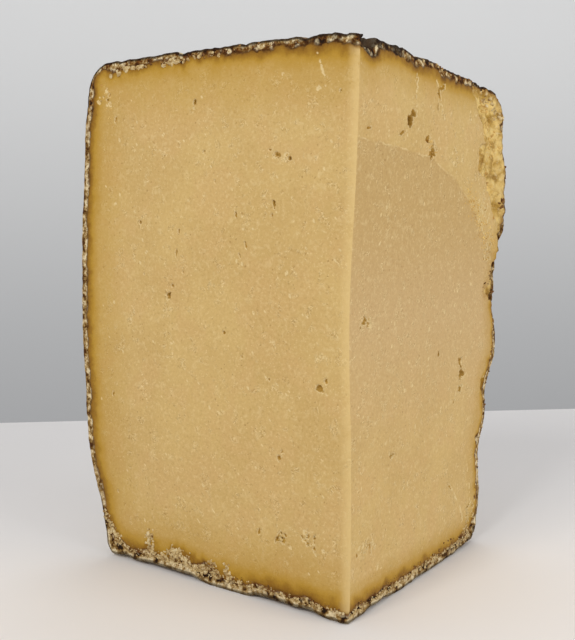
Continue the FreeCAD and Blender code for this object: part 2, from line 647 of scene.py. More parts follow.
class RightFace(Face):
    """The narrow-looking cut face, with the torn crust, a crescent step and the larger openings.

    Attributes:
        STEP: the (s, z) places that the crescent step runs through.
        TEAR: how far in from the wall the tear reaches, as pairs of height and width.
        BITE: the round bite out of it.
        POCKETS: the other places where pieces of crust broke out.
        DEEPEST: how deep the tear is at most.
    """

    STEP = ((3.0, 256.0), (45.0, 255.0), (87.0, 252.0), (122.0, 241.0), (145.0, 227.0), (168.0, 208.0))
    TEAR = ((309.0, 58.0), (298.0, 56.0), (288.0, 49.0), (274.0, 39.0), (266.0, 36.0), (258.0, 38.0),
            (249.0, 40.0), (240.0, 38.0), (226.0, 30.0), (212.0, 17.0), (200.0, 10.0), (192.0, 9.0),
            (184.0, 15.0), (170.0, 17.0), (160.0, 6.0), (150.0, 3.5))
    BITE = Eye(163.0, 256.0, 12.0, 11.5, 8.0, -20.0, 0.04)
    POCKETS = (
        Eye(176.0, 292.0, 7.0, 9.0, 4.5, 30.0, 0.2),
        Eye(190.0, 284.0, 6.0, 11.0, 4.0, 20.0, 0.25),
        Eye(193.0, 252.0, 6.0, 9.0, 5.0, 10.0, 0.25),
        Eye(186.0, 238.0, 8.0, 8.0, 5.0, 0.0, 0.3),
        Eye(188.0, 184.0, 6.0, 8.0, 5.0, 25.0, 0.15),
        Eye(174.0, 170.0, 5.5, 7.0, 4.0, 0.0, 0.3),
        Eye(172.0, 108.0, 3.6, 7.5, 3.0, 0.0, 0.4),
        Eye(166.0, 72.0, 4.0, 5.0, 2.5, 0.0, 0.4),
        Eye(160.0, 12.0, 9.0, 9.0, 2.6, 30.0, 0.5),
    )
    DEEPEST = 11.5

    def crust_width(self, s: float, z: float, sides: tuple[float, float, float]) -> tuple[float, float]:
        """A narrow band at the wall, wider at the head and the foot."""
        _, head, foot = sides
        place = Vector((s, z, 21.0))
        at_wall = 5.6 + 2.2 * wander(place, 11.0, 3)
        at_head = 4.6 + 1.8 * wander(place, 15.0, 3, 1.0)
        at_foot = 7.0 + 2.4 * wander(place, 10.0, 3, 2.0)
        near_head, near_foot = fade(7.0, 18.0, head), fade(12.0, 24.0, foot)
        width = blend(blend(at_wall, at_head, near_head), at_foot, near_foot)
        return max(width, 1.2), blend(blend(1.8, 3.2, near_head), 3.2, near_foot)

    def _tear_width(self, z: float) -> float:
        """How far in from the wall the tear reaches at a height."""
        for (z1, w1), (z0, w0) in zip(self.TEAR, self.TEAR[1:]):
            if z0 <= z <= z1:
                return blend(w0, w1, smooth_step(z0, z1, z))
        return 0.0

    def torn(self, s: float, z: float) -> float:
        """1 within the tear, with an edge that chips in and out."""
        width = self._tear_width(z)
        inside = self.wall_at(z) - s
        if width <= 0.0 or inside > width + 9.0:
            return 0.0
        edge = width + 2.4 * wander(Vector((s, z, 5.0)), 8.0, 4, 3.0)
        bitten = smooth_step(0.4, 1.4, self.BITE.depth(s, z))
        return max(bitten, fade(edge - 1.2, edge + 0.3, inside))

    @staticmethod
    def _sunk(place: Vector) -> float:
        """How far a torn place lies below the tops of its lumps, large and small, as a share."""
        sway = Vector((wander(place, 9.0, 2), wander(place, 9.0, 2, 4.0), 0))
        moved = Vector((place.x, place.y, 0.0)) + 2.0 * sway
        return 0.68 * cell_distance(moved, 13.0, 2.0) ** 1.5 + 0.32 * cell_distance(moved, 6.0, 5.0) ** 1.5

    def crease(self, place: Vector) -> float:
        """1 between the tear's lumps."""
        return smooth_step(0.30, 0.60, self._sunk(place))

    def bow(self, s: float, z: float) -> float:
        """The knife strayed into the paste half way up the arris."""
        return strayed(z) * math.exp(-max(s - self.strip, 0.0) / 26.0)

    def above(self, s: float, z: float) -> float:
        """How far above the crescent's line a place is, in millimetres."""
        path = self.STEP
        for (s0, z0), (s1, z1) in zip(path, path[1:]):
            if s <= s1 or (s1, z1) == path[-1]:
                return z - blend(z0, z1, min(max((s - s0) / (s1 - s0), 0.0), 1.6))
        return 0.0

    def below(self, s: float, z: float) -> float:
        """1 below the crescent step, fading towards the foot."""
        ragged = self.above(s, z) + 0.8 * wander(Vector((s, z, 31.0)), 10.0, 3, 1.0)
        return fade(-0.6, 0.6, ragged) * smooth_step(60.0, 180.0, z)

    def char(self, s: float, z: float) -> float:
        """The crust is nearly black at the head beside the arris."""
        return fade(40.0, 70.0, s) * smooth_step(284.0, 296.0, z)

    def shape(self, s: float, z: float, torn: float) -> float:
        """The crescent step, the tear's lumps and the bites out of it."""
        place = Vector((s, z, 31.0))
        depth = 0.6 * self.below(s, z) * smooth_step(4.0, 40.0, s)
        if torn > 0.0:
            inside = max(self.wall_at(z) - s, 0.0)
            share = min(inside / max(self._tear_width(z), 1.0), 1.0)
            calm = blend(0.3, 1.0, smooth_step(0.0, 0.4, share))
            bite = self.BITE.depth(s, z)
            smooth = fade(0.5, 4.0, bite)
            small = 1.0 * cell_distance(place, 2.9, 4.0) + 0.7 * wander(place, 5.0, 3)
            ragged = 0.2 + 2.2 * smooth_step(0.05, 0.5, share) + (6.5 * self._sunk(place) + small) * calm
            depth += torn * max(ragged * blend(0.35, 1.0, smooth), bite)
        return min(depth + max(pocket.depth(s, z) for pocket in self.POCKETS) * 0.6, self.DEEPEST)


def left_face(wheel: Wheel) -> LeftFace:
    """The left cut face with its own openings."""
    eyes = [Eye(*row) for row in (
        (107, 281, 1.3, 2.1, 3.2, 25, 0.2), (170, 275, 1.0, 2.6, 1.4, 10),
        (150, 213, 1.2, 1.3, 2.6, 0, 0.15), (119, 208, 0.9, 1.7, 2.0), (121, 195, 0.8, 3.1, 1.8, 8),
        (127, 170, 1.9, 3.1, 2.4, 25, 0.5), (124, 176, 1.0, 1.8, 1.8, 10), (100, 253, 1.1, 1.1, 1.5),
        (49, 249, 2.6, 1.1, 2.2, 20, 0.5), (41, 247, 1.3, 1.4, 2.8), (54, 252, 1.2, 0.9, 1.4),
        (77, 218, 1.0, 2.6, 1.7, -12), (51, 223, 1.1, 3.0, 2.6, -10), (52, 217, 0.8, 1.4, 1.6),
        (70, 201, 0.8, 3.0, 1.5, -15), (74, 195, 0.7, 1.8, 1.3, -20), (85, 151, 1.3, 1.5, 1.9),
        (20, 126, 2.8, 2.2, 2.1, 20, 0.6), (16, 130, 1.4, 2.2, 1.6, -20), (53, 127, 0.9, 1.3, 1.3),
        (72, 138, 1.0, 1.2, 1.2), (174, 106, 1.2, 2.2, 1.5, 15), (46, 84, 1.5, 2.1, 1.9, 10, 0.5),
        (44, 88, 1.0, 1.2, 1.3), (59, 40, 1.2, 2.5, 1.6, 0, 0.5), (26, 44, 1.4, 1.0, 1.4),
        (22, 38, 1.6, 1.2, 1.5, 30, 0.6), (116, 184, 0.7, 1.0, 1.2), (147, 182, 0.7, 0.8, 1.0),
        (1, 190, 2.2, 2.0, 1.4, 0, 0.5), (10, 280, 0.8, 0.9, 1.4), (170, 44, 0.9, 1.1, 1.0),
        (100, 60, 0.8, 1.0, 0.9), (92, 236, 0.7, 1.1, 1.0), (30, 200, 0.7, 0.8, 0.9),
        (112, 120, 0.7, 1.1, 0.9),
    )]
    for row in (
        (44, 40, 5.0, 6.0, 2.3, 10, 4), (24, 42, 9.0, 5.0, 1.7, 12, 5), (48, 249, 7.0, 2.5, 1.4, 7, 6),
        (178, 288, 8.0, 8.0, 1.4, 14, 7),
    ):
        eyes += crumbled(*row)
    eyes += scattered(21, 120, (0.35, 0.75), 190, 292, 2.2)
    cracks = [Crack(((24, 300), (20, 288), (17, 276)), 0.35, 0.5), Crack(((44, 44), (48, 36)), 0.8, 1.2)]
    return LeftFace(wheel.planes[Side.LEFT], wheel, 5.5, eyes, cracks, 1.0)


def right_face(wheel: Wheel) -> RightFace:
    """The right cut face with its own openings."""
    eyes = [Eye(*row) for row in (
        (60, 270, 6.0, 4.4, 4.2, 15, 0.6), (64, 275, 3.6, 2.2, 2.6, 0, 0.6),
        (51, 263, 4.4, 1.3, 2.0, 20, 0.5), (14, 262, 3.2, 1.0, 1.6, 15, 0.5),
        (95, 290, 2.6, 3.2, 2.2, 20, 0.6), (100, 294, 3.4, 1.6, 1.8, 30, 0.6), (94, 282, 1.8, 2.8, 1.8, 10),
        (105, 135, 2.0, 2.3, 3.6, 0, 0.25), (136, 127, 3.2, 3.6, 2.4, 20, 0.7),
        (139, 119, 4.0, 4.6, 2.8, -10, 0.7), (137, 109, 3.6, 3.6, 2.5, 10, 0.7),
        (128, 102, 1.4, 2.6, 1.8, -30), (17, 162, 2.0, 2.8, 1.9, 0, 0.6), (22, 160, 1.4, 1.2, 1.4),
        (46, 83, 2.0, 2.2, 2.0, 0, 0.6), (24, 36, 1.5, 3.4, 1.6, 10), (10, 36, 1.4, 1.6, 1.6),
        (146, 160, 0.9, 3.2, 1.5, -10), (140, 150, 0.8, 1.9, 1.1), (118, 268, 1.0, 2.0, 1.3),
        (150, 243, 1.3, 1.5, 1.6), (126, 206, 1.0, 1.0, 1.0), (90, 60, 0.9, 1.9, 1.1),
        (70, 120, 0.8, 1.2, 0.9), (36, 222, 0.8, 1.0, 0.9), (12, 305, 7.0, 4.5, 3.6, 0, 0.3),
        (82, 262, 4.6, 2.2, 2.2, 10, 0.7), (89, 255, 5.4, 3.2, 2.5, 20, 0.7),
    )]
    for row in (
        (86, 257, 9.0, 5.0, 2.4, 22, 11), (122, 252, 7.0, 11.0, 1.4, 14, 21),
        (95, 290, 4.0, 8.0, 1.8, 12, 12), (66, 288, 1.4, 13.0, 1.2, 12, 13),
        (137, 118, 5.0, 13.0, 2.2, 26, 14), (18, 161, 6.0, 4.0, 1.6, 9, 15), (47, 83, 4.0, 4.0, 1.8, 9, 16),
        (21, 37, 13.0, 5.0, 1.6, 16, 17), (158, 22, 10.0, 14.0, 2.0, 34, 18),
        (166, 226, 11.0, 13.0, 1.5, 40, 19), (176, 196, 8.0, 14.0, 1.5, 26, 20),
    ):
        eyes += crumbled(*row)
    eyes += scattered(22, 110, (0.4, 0.85), 180, 290, 2.4)
    cracks = [
        Crack(((122, 50), (130, 44), (142, 30), (146, 20)), 0.7, 1.5),
        Crack(((88, 300), (97, 288), (103, 276)), 0.5, 1.1),
        Crack(((128, 104), (137, 118), (138, 132)), 0.6, 1.4),
        Crack(((150, 60), (156, 40), (158, 26)), 0.5, 0.9),
    ]
    return RightFace(wheel.planes[Side.RIGHT], wheel, 2.5, eyes, cracks, 2.0)


# ---------------------------------------------------------------- the crust's outer skin


@dataclass
class Crust:
    """The crust over the wall, the head and the foot, as one closed piece that backs the cut faces.

    Attributes:
        WALL_CHART: the wall's window of the export map.
        HEAD_CHART: the head's window.
        FOOT_CHART: the foot's window.
        BACK_CHARTS: the windows of the hidden backs.
        HEAD_TURN: over how many millimetres the wall turns towards the head.
        FOOT_TURN: over how many it turns towards the foot.
        TEAR_REACH: how far behind a cut face its tear is felt.
        wheel: the measured solid.
        faces: the two cut faces, whose edges it meets.
        across: steps along a cut face's head or foot line.
        upright: steps up the wall.
        rough: the height of its coarse lumps.
        proud: how far its worn skin is let out again, so that its high places reach the solid's skin.
        backing: how far behind the cut faces it is closed off.
        shoulder: how far it stands out at the head's outer shoulder, beside the tear.
        flake: how far it stands out at the flake below that shoulder.
        knob: how far it stands out at the knob of the head beside the left cut face.
        dip: how far it falls in beside that knob.
        high: the head's rounded edge, as radius and height, from the right cut face round to the left one.
        low: the foot's rounded edge in the same way.
        tearing: False while the crust is measured without its tears.
    """

    WALL_CHART = Window(0.01, 0.36, 0.98, 0.63)
    HEAD_CHART = Window(0.01, 0.01, 0.47, 0.33)
    FOOT_CHART = Window(0.50, 0.01, 0.40, 0.33)
    BACK_CHARTS = {Side.LEFT: Window(0.915, 0.01, 0.03, 0.33), Side.RIGHT: Window(0.95, 0.01, 0.03, 0.33)}
    HEAD_TURN = 17.0
    FOOT_TURN = 8.0
    TEAR_REACH = 34.0

    wheel: Wheel
    faces: dict[Side, Face]
    across: int = 104
    upright: int = 164
    rough: float = 1.5
    proud: float = 1.3
    backing: float = 12.0
    shoulder: float = 4.4
    flake: float = 3.4
    knob: float = 2.2
    dip: float = 1.2

    def __post_init__(self) -> None:
        """Measures both rounded edges once, and tells the cut faces where the worn crust ends."""
        steps = 2 * self.across
        self.high = [self.wheel.rim(90.0 * i / steps, True) for i in range(steps + 1)]
        self.low = [self.wheel.rim(90.0 * i / steps, False) for i in range(steps + 1)]
        self.tearing = False
        for side, face in self.faces.items():
            foot, wall, head = self.edge_line(side)
            face.trace(foot + wall + head[::-1])
        self.tearing = True

    def wear(self, place: Vector, wild: float) -> float:
        """How far the dry, pitted crust lies in from the solid's skin.

        Args:
            place: where on the skin, in millimetres.
            wild: 0 beside a cut face, 1 well away from it, where the swells are deeper.

        Returns:
            The distance in millimetres.
        """
        swells = (0.5 + 1.5 * wild) * (0.5 + 0.5 * wander(place, 64.0, 2, 1.0))
        lumps = self.rough * (0.5 + 0.5 * wander(place, 22.0, 3, 2.0))
        near = cell_distance(place, 11.0, 1.0)
        buttons = (0.7 + 0.7 * wild) * near**1.5
        crater = cell_distance(place, 15.0, 7.0) + 0.12 * wander(place, 5.0, 3, 9.0)
        craters = (0.6 + 1.8 * wild) * fade(0.14, 0.36, crater)
        craters *= smooth_step(-0.05, 0.25, wander(place, 45.0, 2, 8.0))
        pits = 0.9 * fade(0.14, 0.44, cell_distance(place, 4.6, 3.0))
        pits *= smooth_step(-0.1, 0.3, wander(place, 28.0, 2, 5.0))
        fine = 0.5 * wander(place, 4.2, 3, 6.0)
        return max(0.02, swells + lumps + buttons + craters + pits + fine - self.proud)

    def settle(self, base: Vector, facing: Vector, calm: float = 1.0) -> tuple[Vector, float]:
        """Moves a point of the solid's skin in by the crust's wear, and back where a cut face is torn.

        Args:
            base: a point on the solid's skin.
            facing: the skin's outward direction there.
            calm: less than 1 for a smoother place.

        Returns:
            The finished point, and how worn it is in millimetres.
        """
        place = base / MM
        behind = min(face.plane.read(base)[2] for face in self.faces.values())
        worn = self.wear(place, smooth_step(6.0, 40.0, behind)) * calm
        if behind < 16.0 and facing.z > 0.4:
            worn += 0.9 * calm * wander(place, 12.0, 4, 14.0) * fade(6.0, 16.0, behind)
        if behind < 12.0 and facing.z < -0.4:
            worn += 2.6 * smooth_step(-0.35, 0.5, wander(place, 34.0, 3, 15.0)) * fade(4.0, 12.0, behind)
        right, left = (self.faces[side].plane.read(base) for side in (Side.RIGHT, Side.LEFT))
        held = smooth_step(130.0, 160.0, place.z) * fade(8.0, 30.0, right[2])
        knobbly = 2.4 * cell_distance(place, 9.0, 16.0) ** 1.5 + 0.6 * (1.0 + wander(place, 4.0, 3, 17.0))
        worn = max(blend(worn, knobbly, held), 0.02)
        if right[2] < 40.0 and place.z > 230.0:
            by_tear = smooth_step(128.0, 152.0, right[0]) * fade(190.0, 203.0, right[0])
            by_tear *= smooth_step(0.0, 0.5, facing.z)
            at_flake = fade(6.0, 14.0, abs(place.z - 251.0))
            worn -= (self.shoulder * by_tear + self.flake * at_flake) * fade(4.0, 40.0, right[2])
        if facing.z > 0.4 and left[2] < 9.0:
            at_knob = fade(1.5, 7.0, abs(left[0] - 126.0))
            at_dip = fade(0.5, 4.0, abs(left[0] - 117.0))
            worn -= (self.knob * at_knob - self.dip * at_dip) * fade(2.0, 9.0, left[2])
        point = base - facing * worn * MM
        point.z = min(point.z, (self.wheel.height - 0.1) * MM)
        if self.tearing:
            for face in self.faces.values():
                s, z, behind = face.plane.read(point)
                if behind < self.TEAR_REACH:
                    depth = face.spot(s, z).depth
                    reach = 2.6 * depth + 4.0
                    back = depth * max(0.0, 1.0 - max(behind, 0.0) / reach)
                    point = point - face.plane.outward * back * MM
        return point, worn

    def wall_point(self, i: int, j: int) -> tuple[Vector, float]:
        """A finished point of the wall and its wear: i steps round from the right cut face, j steps up."""
        degrees = 90.0 * i / (2 * self.across)
        bottom, top = self.low[i][1], self.high[i][1]
        z = blend(bottom, top, j / self.upright)
        out = self.wheel.spoke(degrees)
        radius = self.wheel.wall(degrees, z)
        lean = 45.0 * (smooth_step(top - self.HEAD_TURN, top, z) - fade(bottom, bottom + self.FOOT_TURN, z))
        facing = out * math.cos(math.radians(lean)) + Vector((0, 0, math.sin(math.radians(lean))))
        return self.settle(self.wheel.axis + out * radius * MM + Vector((0, 0, z * MM)), facing)

    def end_point(self, i: int, j: int, top: bool) -> tuple[Vector, float]:
        """A finished point of the head or the foot.

        Args:
            i: steps out along the right cut face.
            j: steps out along the left cut face.
            top: True for the head.

        Returns:
            The point, and how worn it is.
        """
        n = self.across
        rims = self.high if top else self.low
        u, v = i / n, j / n
        right, left = self.wheel.planes[Side.RIGHT], self.wheel.planes[Side.LEFT]
        near = right.point(self.faces[Side.RIGHT].strip, 0)

        def right_line(t: float) -> Vector:
            """A point on the right cut face's line."""
            return right.point(blend(self.faces[Side.RIGHT].strip, rims[0][0], t), 0)

        def left_line(t: float) -> Vector:
            """A point on the left cut face's line, from the right one's start."""
            chord = 3.0 / n
            start = left.point(self.faces[Side.LEFT].strip, 0)
            if t < chord:
                return near.lerp(start, t / chord)
            return start.lerp(left.point(rims[-1][0], 0), (t - chord) / (1 - chord))

        def arc(step: float) -> Vector:
            """A point on the rounded edge."""
            low = min(int(step), 2 * n - 1)
            radius = blend(rims[low][0], rims[low + 1][0], step - low)
            return self.wheel.axis + self.wheel.spoke(90.0 * step / (2 * n)) * radius * MM

        far_right, far_left = arc(v * n), arc(2 * n - u * n)
        flat = right_line(u) * (1 - v) + far_left * v + left_line(v) * (1 - u) + far_right * u
        flat -= near * (1 - u) * (1 - v) + arc(0) * u * (1 - v) + arc(2 * n) * (1 - u) * v + arc(n) * u * v
        away = (flat - self.wheel.axis) / MM
        radius = math.hypot(away.x, away.y)
        degrees = math.degrees(math.atan2(away.y, away.x)) - 45.0
        edge = rims[min(max(round(degrees / 90.0 * 2 * n), 0), 2 * n)][0]
        z = (self.wheel.head if top else self.wheel.foot)(radius, degrees)
        turning = self.HEAD_TURN if top else self.FOOT_TURN
        lean = 90.0 - 45.0 * smooth_step(edge - turning, edge, radius)
        out = self.wheel.spoke(degrees)
        up = Vector((0, 0, math.sin(math.radians(lean)) * (1 if top else -1)))
        facing = out * math.cos(math.radians(lean)) + up
        resting = 1.0 if top else smooth_step(90.0, 175.0, radius)
        base = self.wheel.axis + Vector((away.x, away.y, z)) * MM
        return self.settle(base, facing, blend(0.35, 1.0, resting))

    def edge_line(self, side: Side) -> tuple[list[Vector], list[Vector], list[Vector]]:
        """The finished points where the crust meets a cut face.

        Args:
            side: which cut face.

        Returns:
            The foot line out from the arris, the wall line up, and the head line out from the arris.
        """
        right = side is Side.RIGHT
        steps = [(k, 0) if right else (0, k) for k in range(self.across + 1)]
        foot, head = ([self.end_point(i, j, top)[0] for i, j in steps] for top in (False, True))
        column = 0 if right else 2 * self.across
        return foot, [self.wall_point(column, k)[0] for k in range(self.upright + 1)], head

    def arris(self, z: float, low: Vector, high: Vector) -> Vector:
        """A point of the arris, where the two cut faces meet.

        Args:
            z: its height in millimetres.
            low: the worn lower end.
            high: the worn upper end.

        Returns:
            The point.
        """
        right = self.faces[Side.RIGHT]
        nick = 0.25 * (1.0 + wander(Vector((0.0, 0.0, z)), 16.0, 4)) + right.hollow(right.strip, z)
        point = right.plane.point(right.strip, z, right.bow(right.strip, z)) + Vector((0.0, nick * MM, 0.0))
        for end in (low, high):
            share = fade(2.0, 9.0, abs(z - end.z / MM))
            point = point.lerp(Vector((end.x, end.y, point.z)), share)
        return point

    def build(self) -> bpy.types.Object:
        """Makes the crust's mesh.

        Returns:
            The crust's object.
        """
        bm = bmesh.new()
        chart = bm.loops.layers.uv.new(EXPORT_MAP)
        worn, char = bm.verts.layers.float.new("worn"), bm.verts.layers.float.new("char")
        n = self.across
        patches = (
            (2 * n, self.upright, self.wall_point, self.WALL_CHART, False),
            (n, n, lambda i, j: self.end_point(i, j, True), self.HEAD_CHART, False),
            (n, n, lambda i, j: self.end_point(i, j, False), self.FOOT_CHART, True),
        )
        for columns, rows, place, window, turned in patches:
            for v, (i, j) in add_grid(bm, columns, rows, turned).items():
                v.co, v[worn] = place(i, j)
                v[char] = self.char(v.co)
                for loop in v.link_loops:
                    loop[chart].uv = window.spot(i / columns, j / rows)
        bmesh.ops.remove_doubles(bm, verts=bm.verts, dist=0.00002)
        self._close(bm, chart)
        return finish_mesh(bm, "crust")

    def char(self, point: Vector) -> float:
        """How nearly black the crust is at a point: only beside the arris's head."""
        found = 0.0
        for face in self.faces.values():
            s, z, behind = face.plane.read(point)
            found = max(found, face.char(s, z) * fade(10.0, 34.0, behind))
        return found

    def _close(self, bm: bmesh.types.BMesh, chart: bmesh.types.BMLayerItem) -> None:
        """Closes the crust behind both cut faces, out of sight.

        Args:
            bm: the crust's open mesh.
            chart: its map layer.
        """
        planes, middle = self.wheel.planes, 0.5 * self.wheel.height
        fresh = extrude_rim(bm)
        for v in fresh:
            readings = {side: planes[side].read(v.co) for side in Side}
            side = min(Side, key=lambda each: readings[each][2] if readings[each][0] > 0 else math.inf)
            s, z, _ = readings[side]
            inner = blend(z, middle, 0.03)
            if s < 4.0:
                v.co = self.wheel.axis + Vector((0, 1, 0)) * self.backing * math.sqrt(2) * MM
                v.co.z = inner * MM
            else:
                v.co = planes[side].point(max(blend(s, 100.0, 0.035), self.backing), inner, self.backing)
        bmesh.ops.remove_doubles(bm, verts=fresh, dist=0.00005)
        left = [e for e in bm.edges if e.is_boundary]
        touch = 0.01
        tips = sorted(
            {v for e in left for v in e.verts
             if max(planes[side].read(v.co)[0] for side in Side) < self.backing + touch},
            key=lambda v: v.co.z,
        )
        spine = bm.edges.new((tips[0], tips[-1]))
        for side in Side:
            loop = [
                e for e in left if all(abs(planes[side].read(v.co)[2] - self.backing) < touch for v in e.verts)
            ]
            filled = bmesh.ops.contextual_create(bm, geom=loop + [spine])["faces"]
            chart_backs(filled, chart, planes[side], self.BACK_CHARTS[side])


# ---------------------------------------------------------------- mesh helpers


def add_grid(
    bm: bmesh.types.BMesh, columns: int, rows: int, turned: bool
) -> dict[bmesh.types.BMVert, tuple[int, int]]:
    """Adds a grid, to be put in shape by its steps.

    Args:
        bm: the mesh to add to.
        columns: steps one way.
        rows: steps the other way.
        turned: True where the grid's faces need turning over.

    Returns:
        Each new vertex and its pair of steps.
    """
    made = bmesh.ops.create_grid(bm, x_segments=columns, y_segments=rows, size=1.0)["verts"]
    if turned:
        bmesh.ops.reverse_faces(bm, faces=list({f for v in made for f in v.link_faces}))
    return {v: (round((v.co.x + 1) * 0.5 * columns), round((v.co.y + 1) * 0.5 * rows)) for v in made}


def extrude_rim(bm: bmesh.types.BMesh) -> list[bmesh.types.BMVert]:
    """Extrudes a mesh's open rim from a hard edge, and returns the new vertices."""
    rim = [e for e in bm.edges if e.is_boundary]
    for e in rim:
        e.smooth = False
    made = bmesh.ops.extrude_edge_only(bm, edges=rim)["geom"]
    return [v for v in made if isinstance(v, bmesh.types.BMVert)]


def chart_backs(
    backs: Sequence[bmesh.types.BMFace], chart: bmesh.types.BMLayerItem, plane: CutPlane, window: Window
) -> None:
    """Gives hidden backs their place on the export map.

    Args:
        backs: the faces.
        chart: the map layer.
        plane: the cut plane that they lie behind.
        window: their window of the map.
    """
    for f in backs:
        for loop in f.loops:
            s, z, _ = plane.read(loop.vert.co)
            loop[chart].uv = window.spot(s / CHART_WIDE, z / CHART_TALL)


def add_object(name: str, data: bpy.types.ID) -> bpy.types.Object:
    """Adds an object to the scene, at the origin."""
    made = bpy.data.objects.new(name, data)
    bpy.context.scene.collection.objects.link(made)
    return made


def add_mesh(bm: bmesh.types.BMesh, name: str) -> bpy.types.Object:
    """Turns a built mesh into an object of the scene, and frees it."""
    mesh = bpy.data.meshes.new(name)
    bm.to_mesh(mesh)
    bm.free()
    return add_object(name, mesh)


def finish_mesh(bm: bmesh.types.BMesh, name: str) -> bpy.types.Object:
    """Turns a built mesh into a smooth-shaded object that stands for part of the solid.

    Args:
        bm: the built mesh, which is freed.
        name: the object's name.

    Returns:
        The object.
    """
    bmesh.ops.triangulate(bm, faces=[f for f in bm.faces if len(f.verts) > 4])
    bmesh.ops.recalc_face_normals(bm, faces=bm.faces)
    for f in bm.faces:
        f.smooth = True
    open_edges = sum(1 for e in bm.edges if not e.is_manifold)
    piece = add_mesh(bm, name)
    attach(piece, "root")
    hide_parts(NODE)
    triangles = sum(len(p.vertices) - 2 for p in piece.data.polygons)
    LOG.info("%s: %d triangles, %d open edges", name, triangles, open_edges)
    return piece


# ---------------------------------------------------------------- the cut faces as pieces


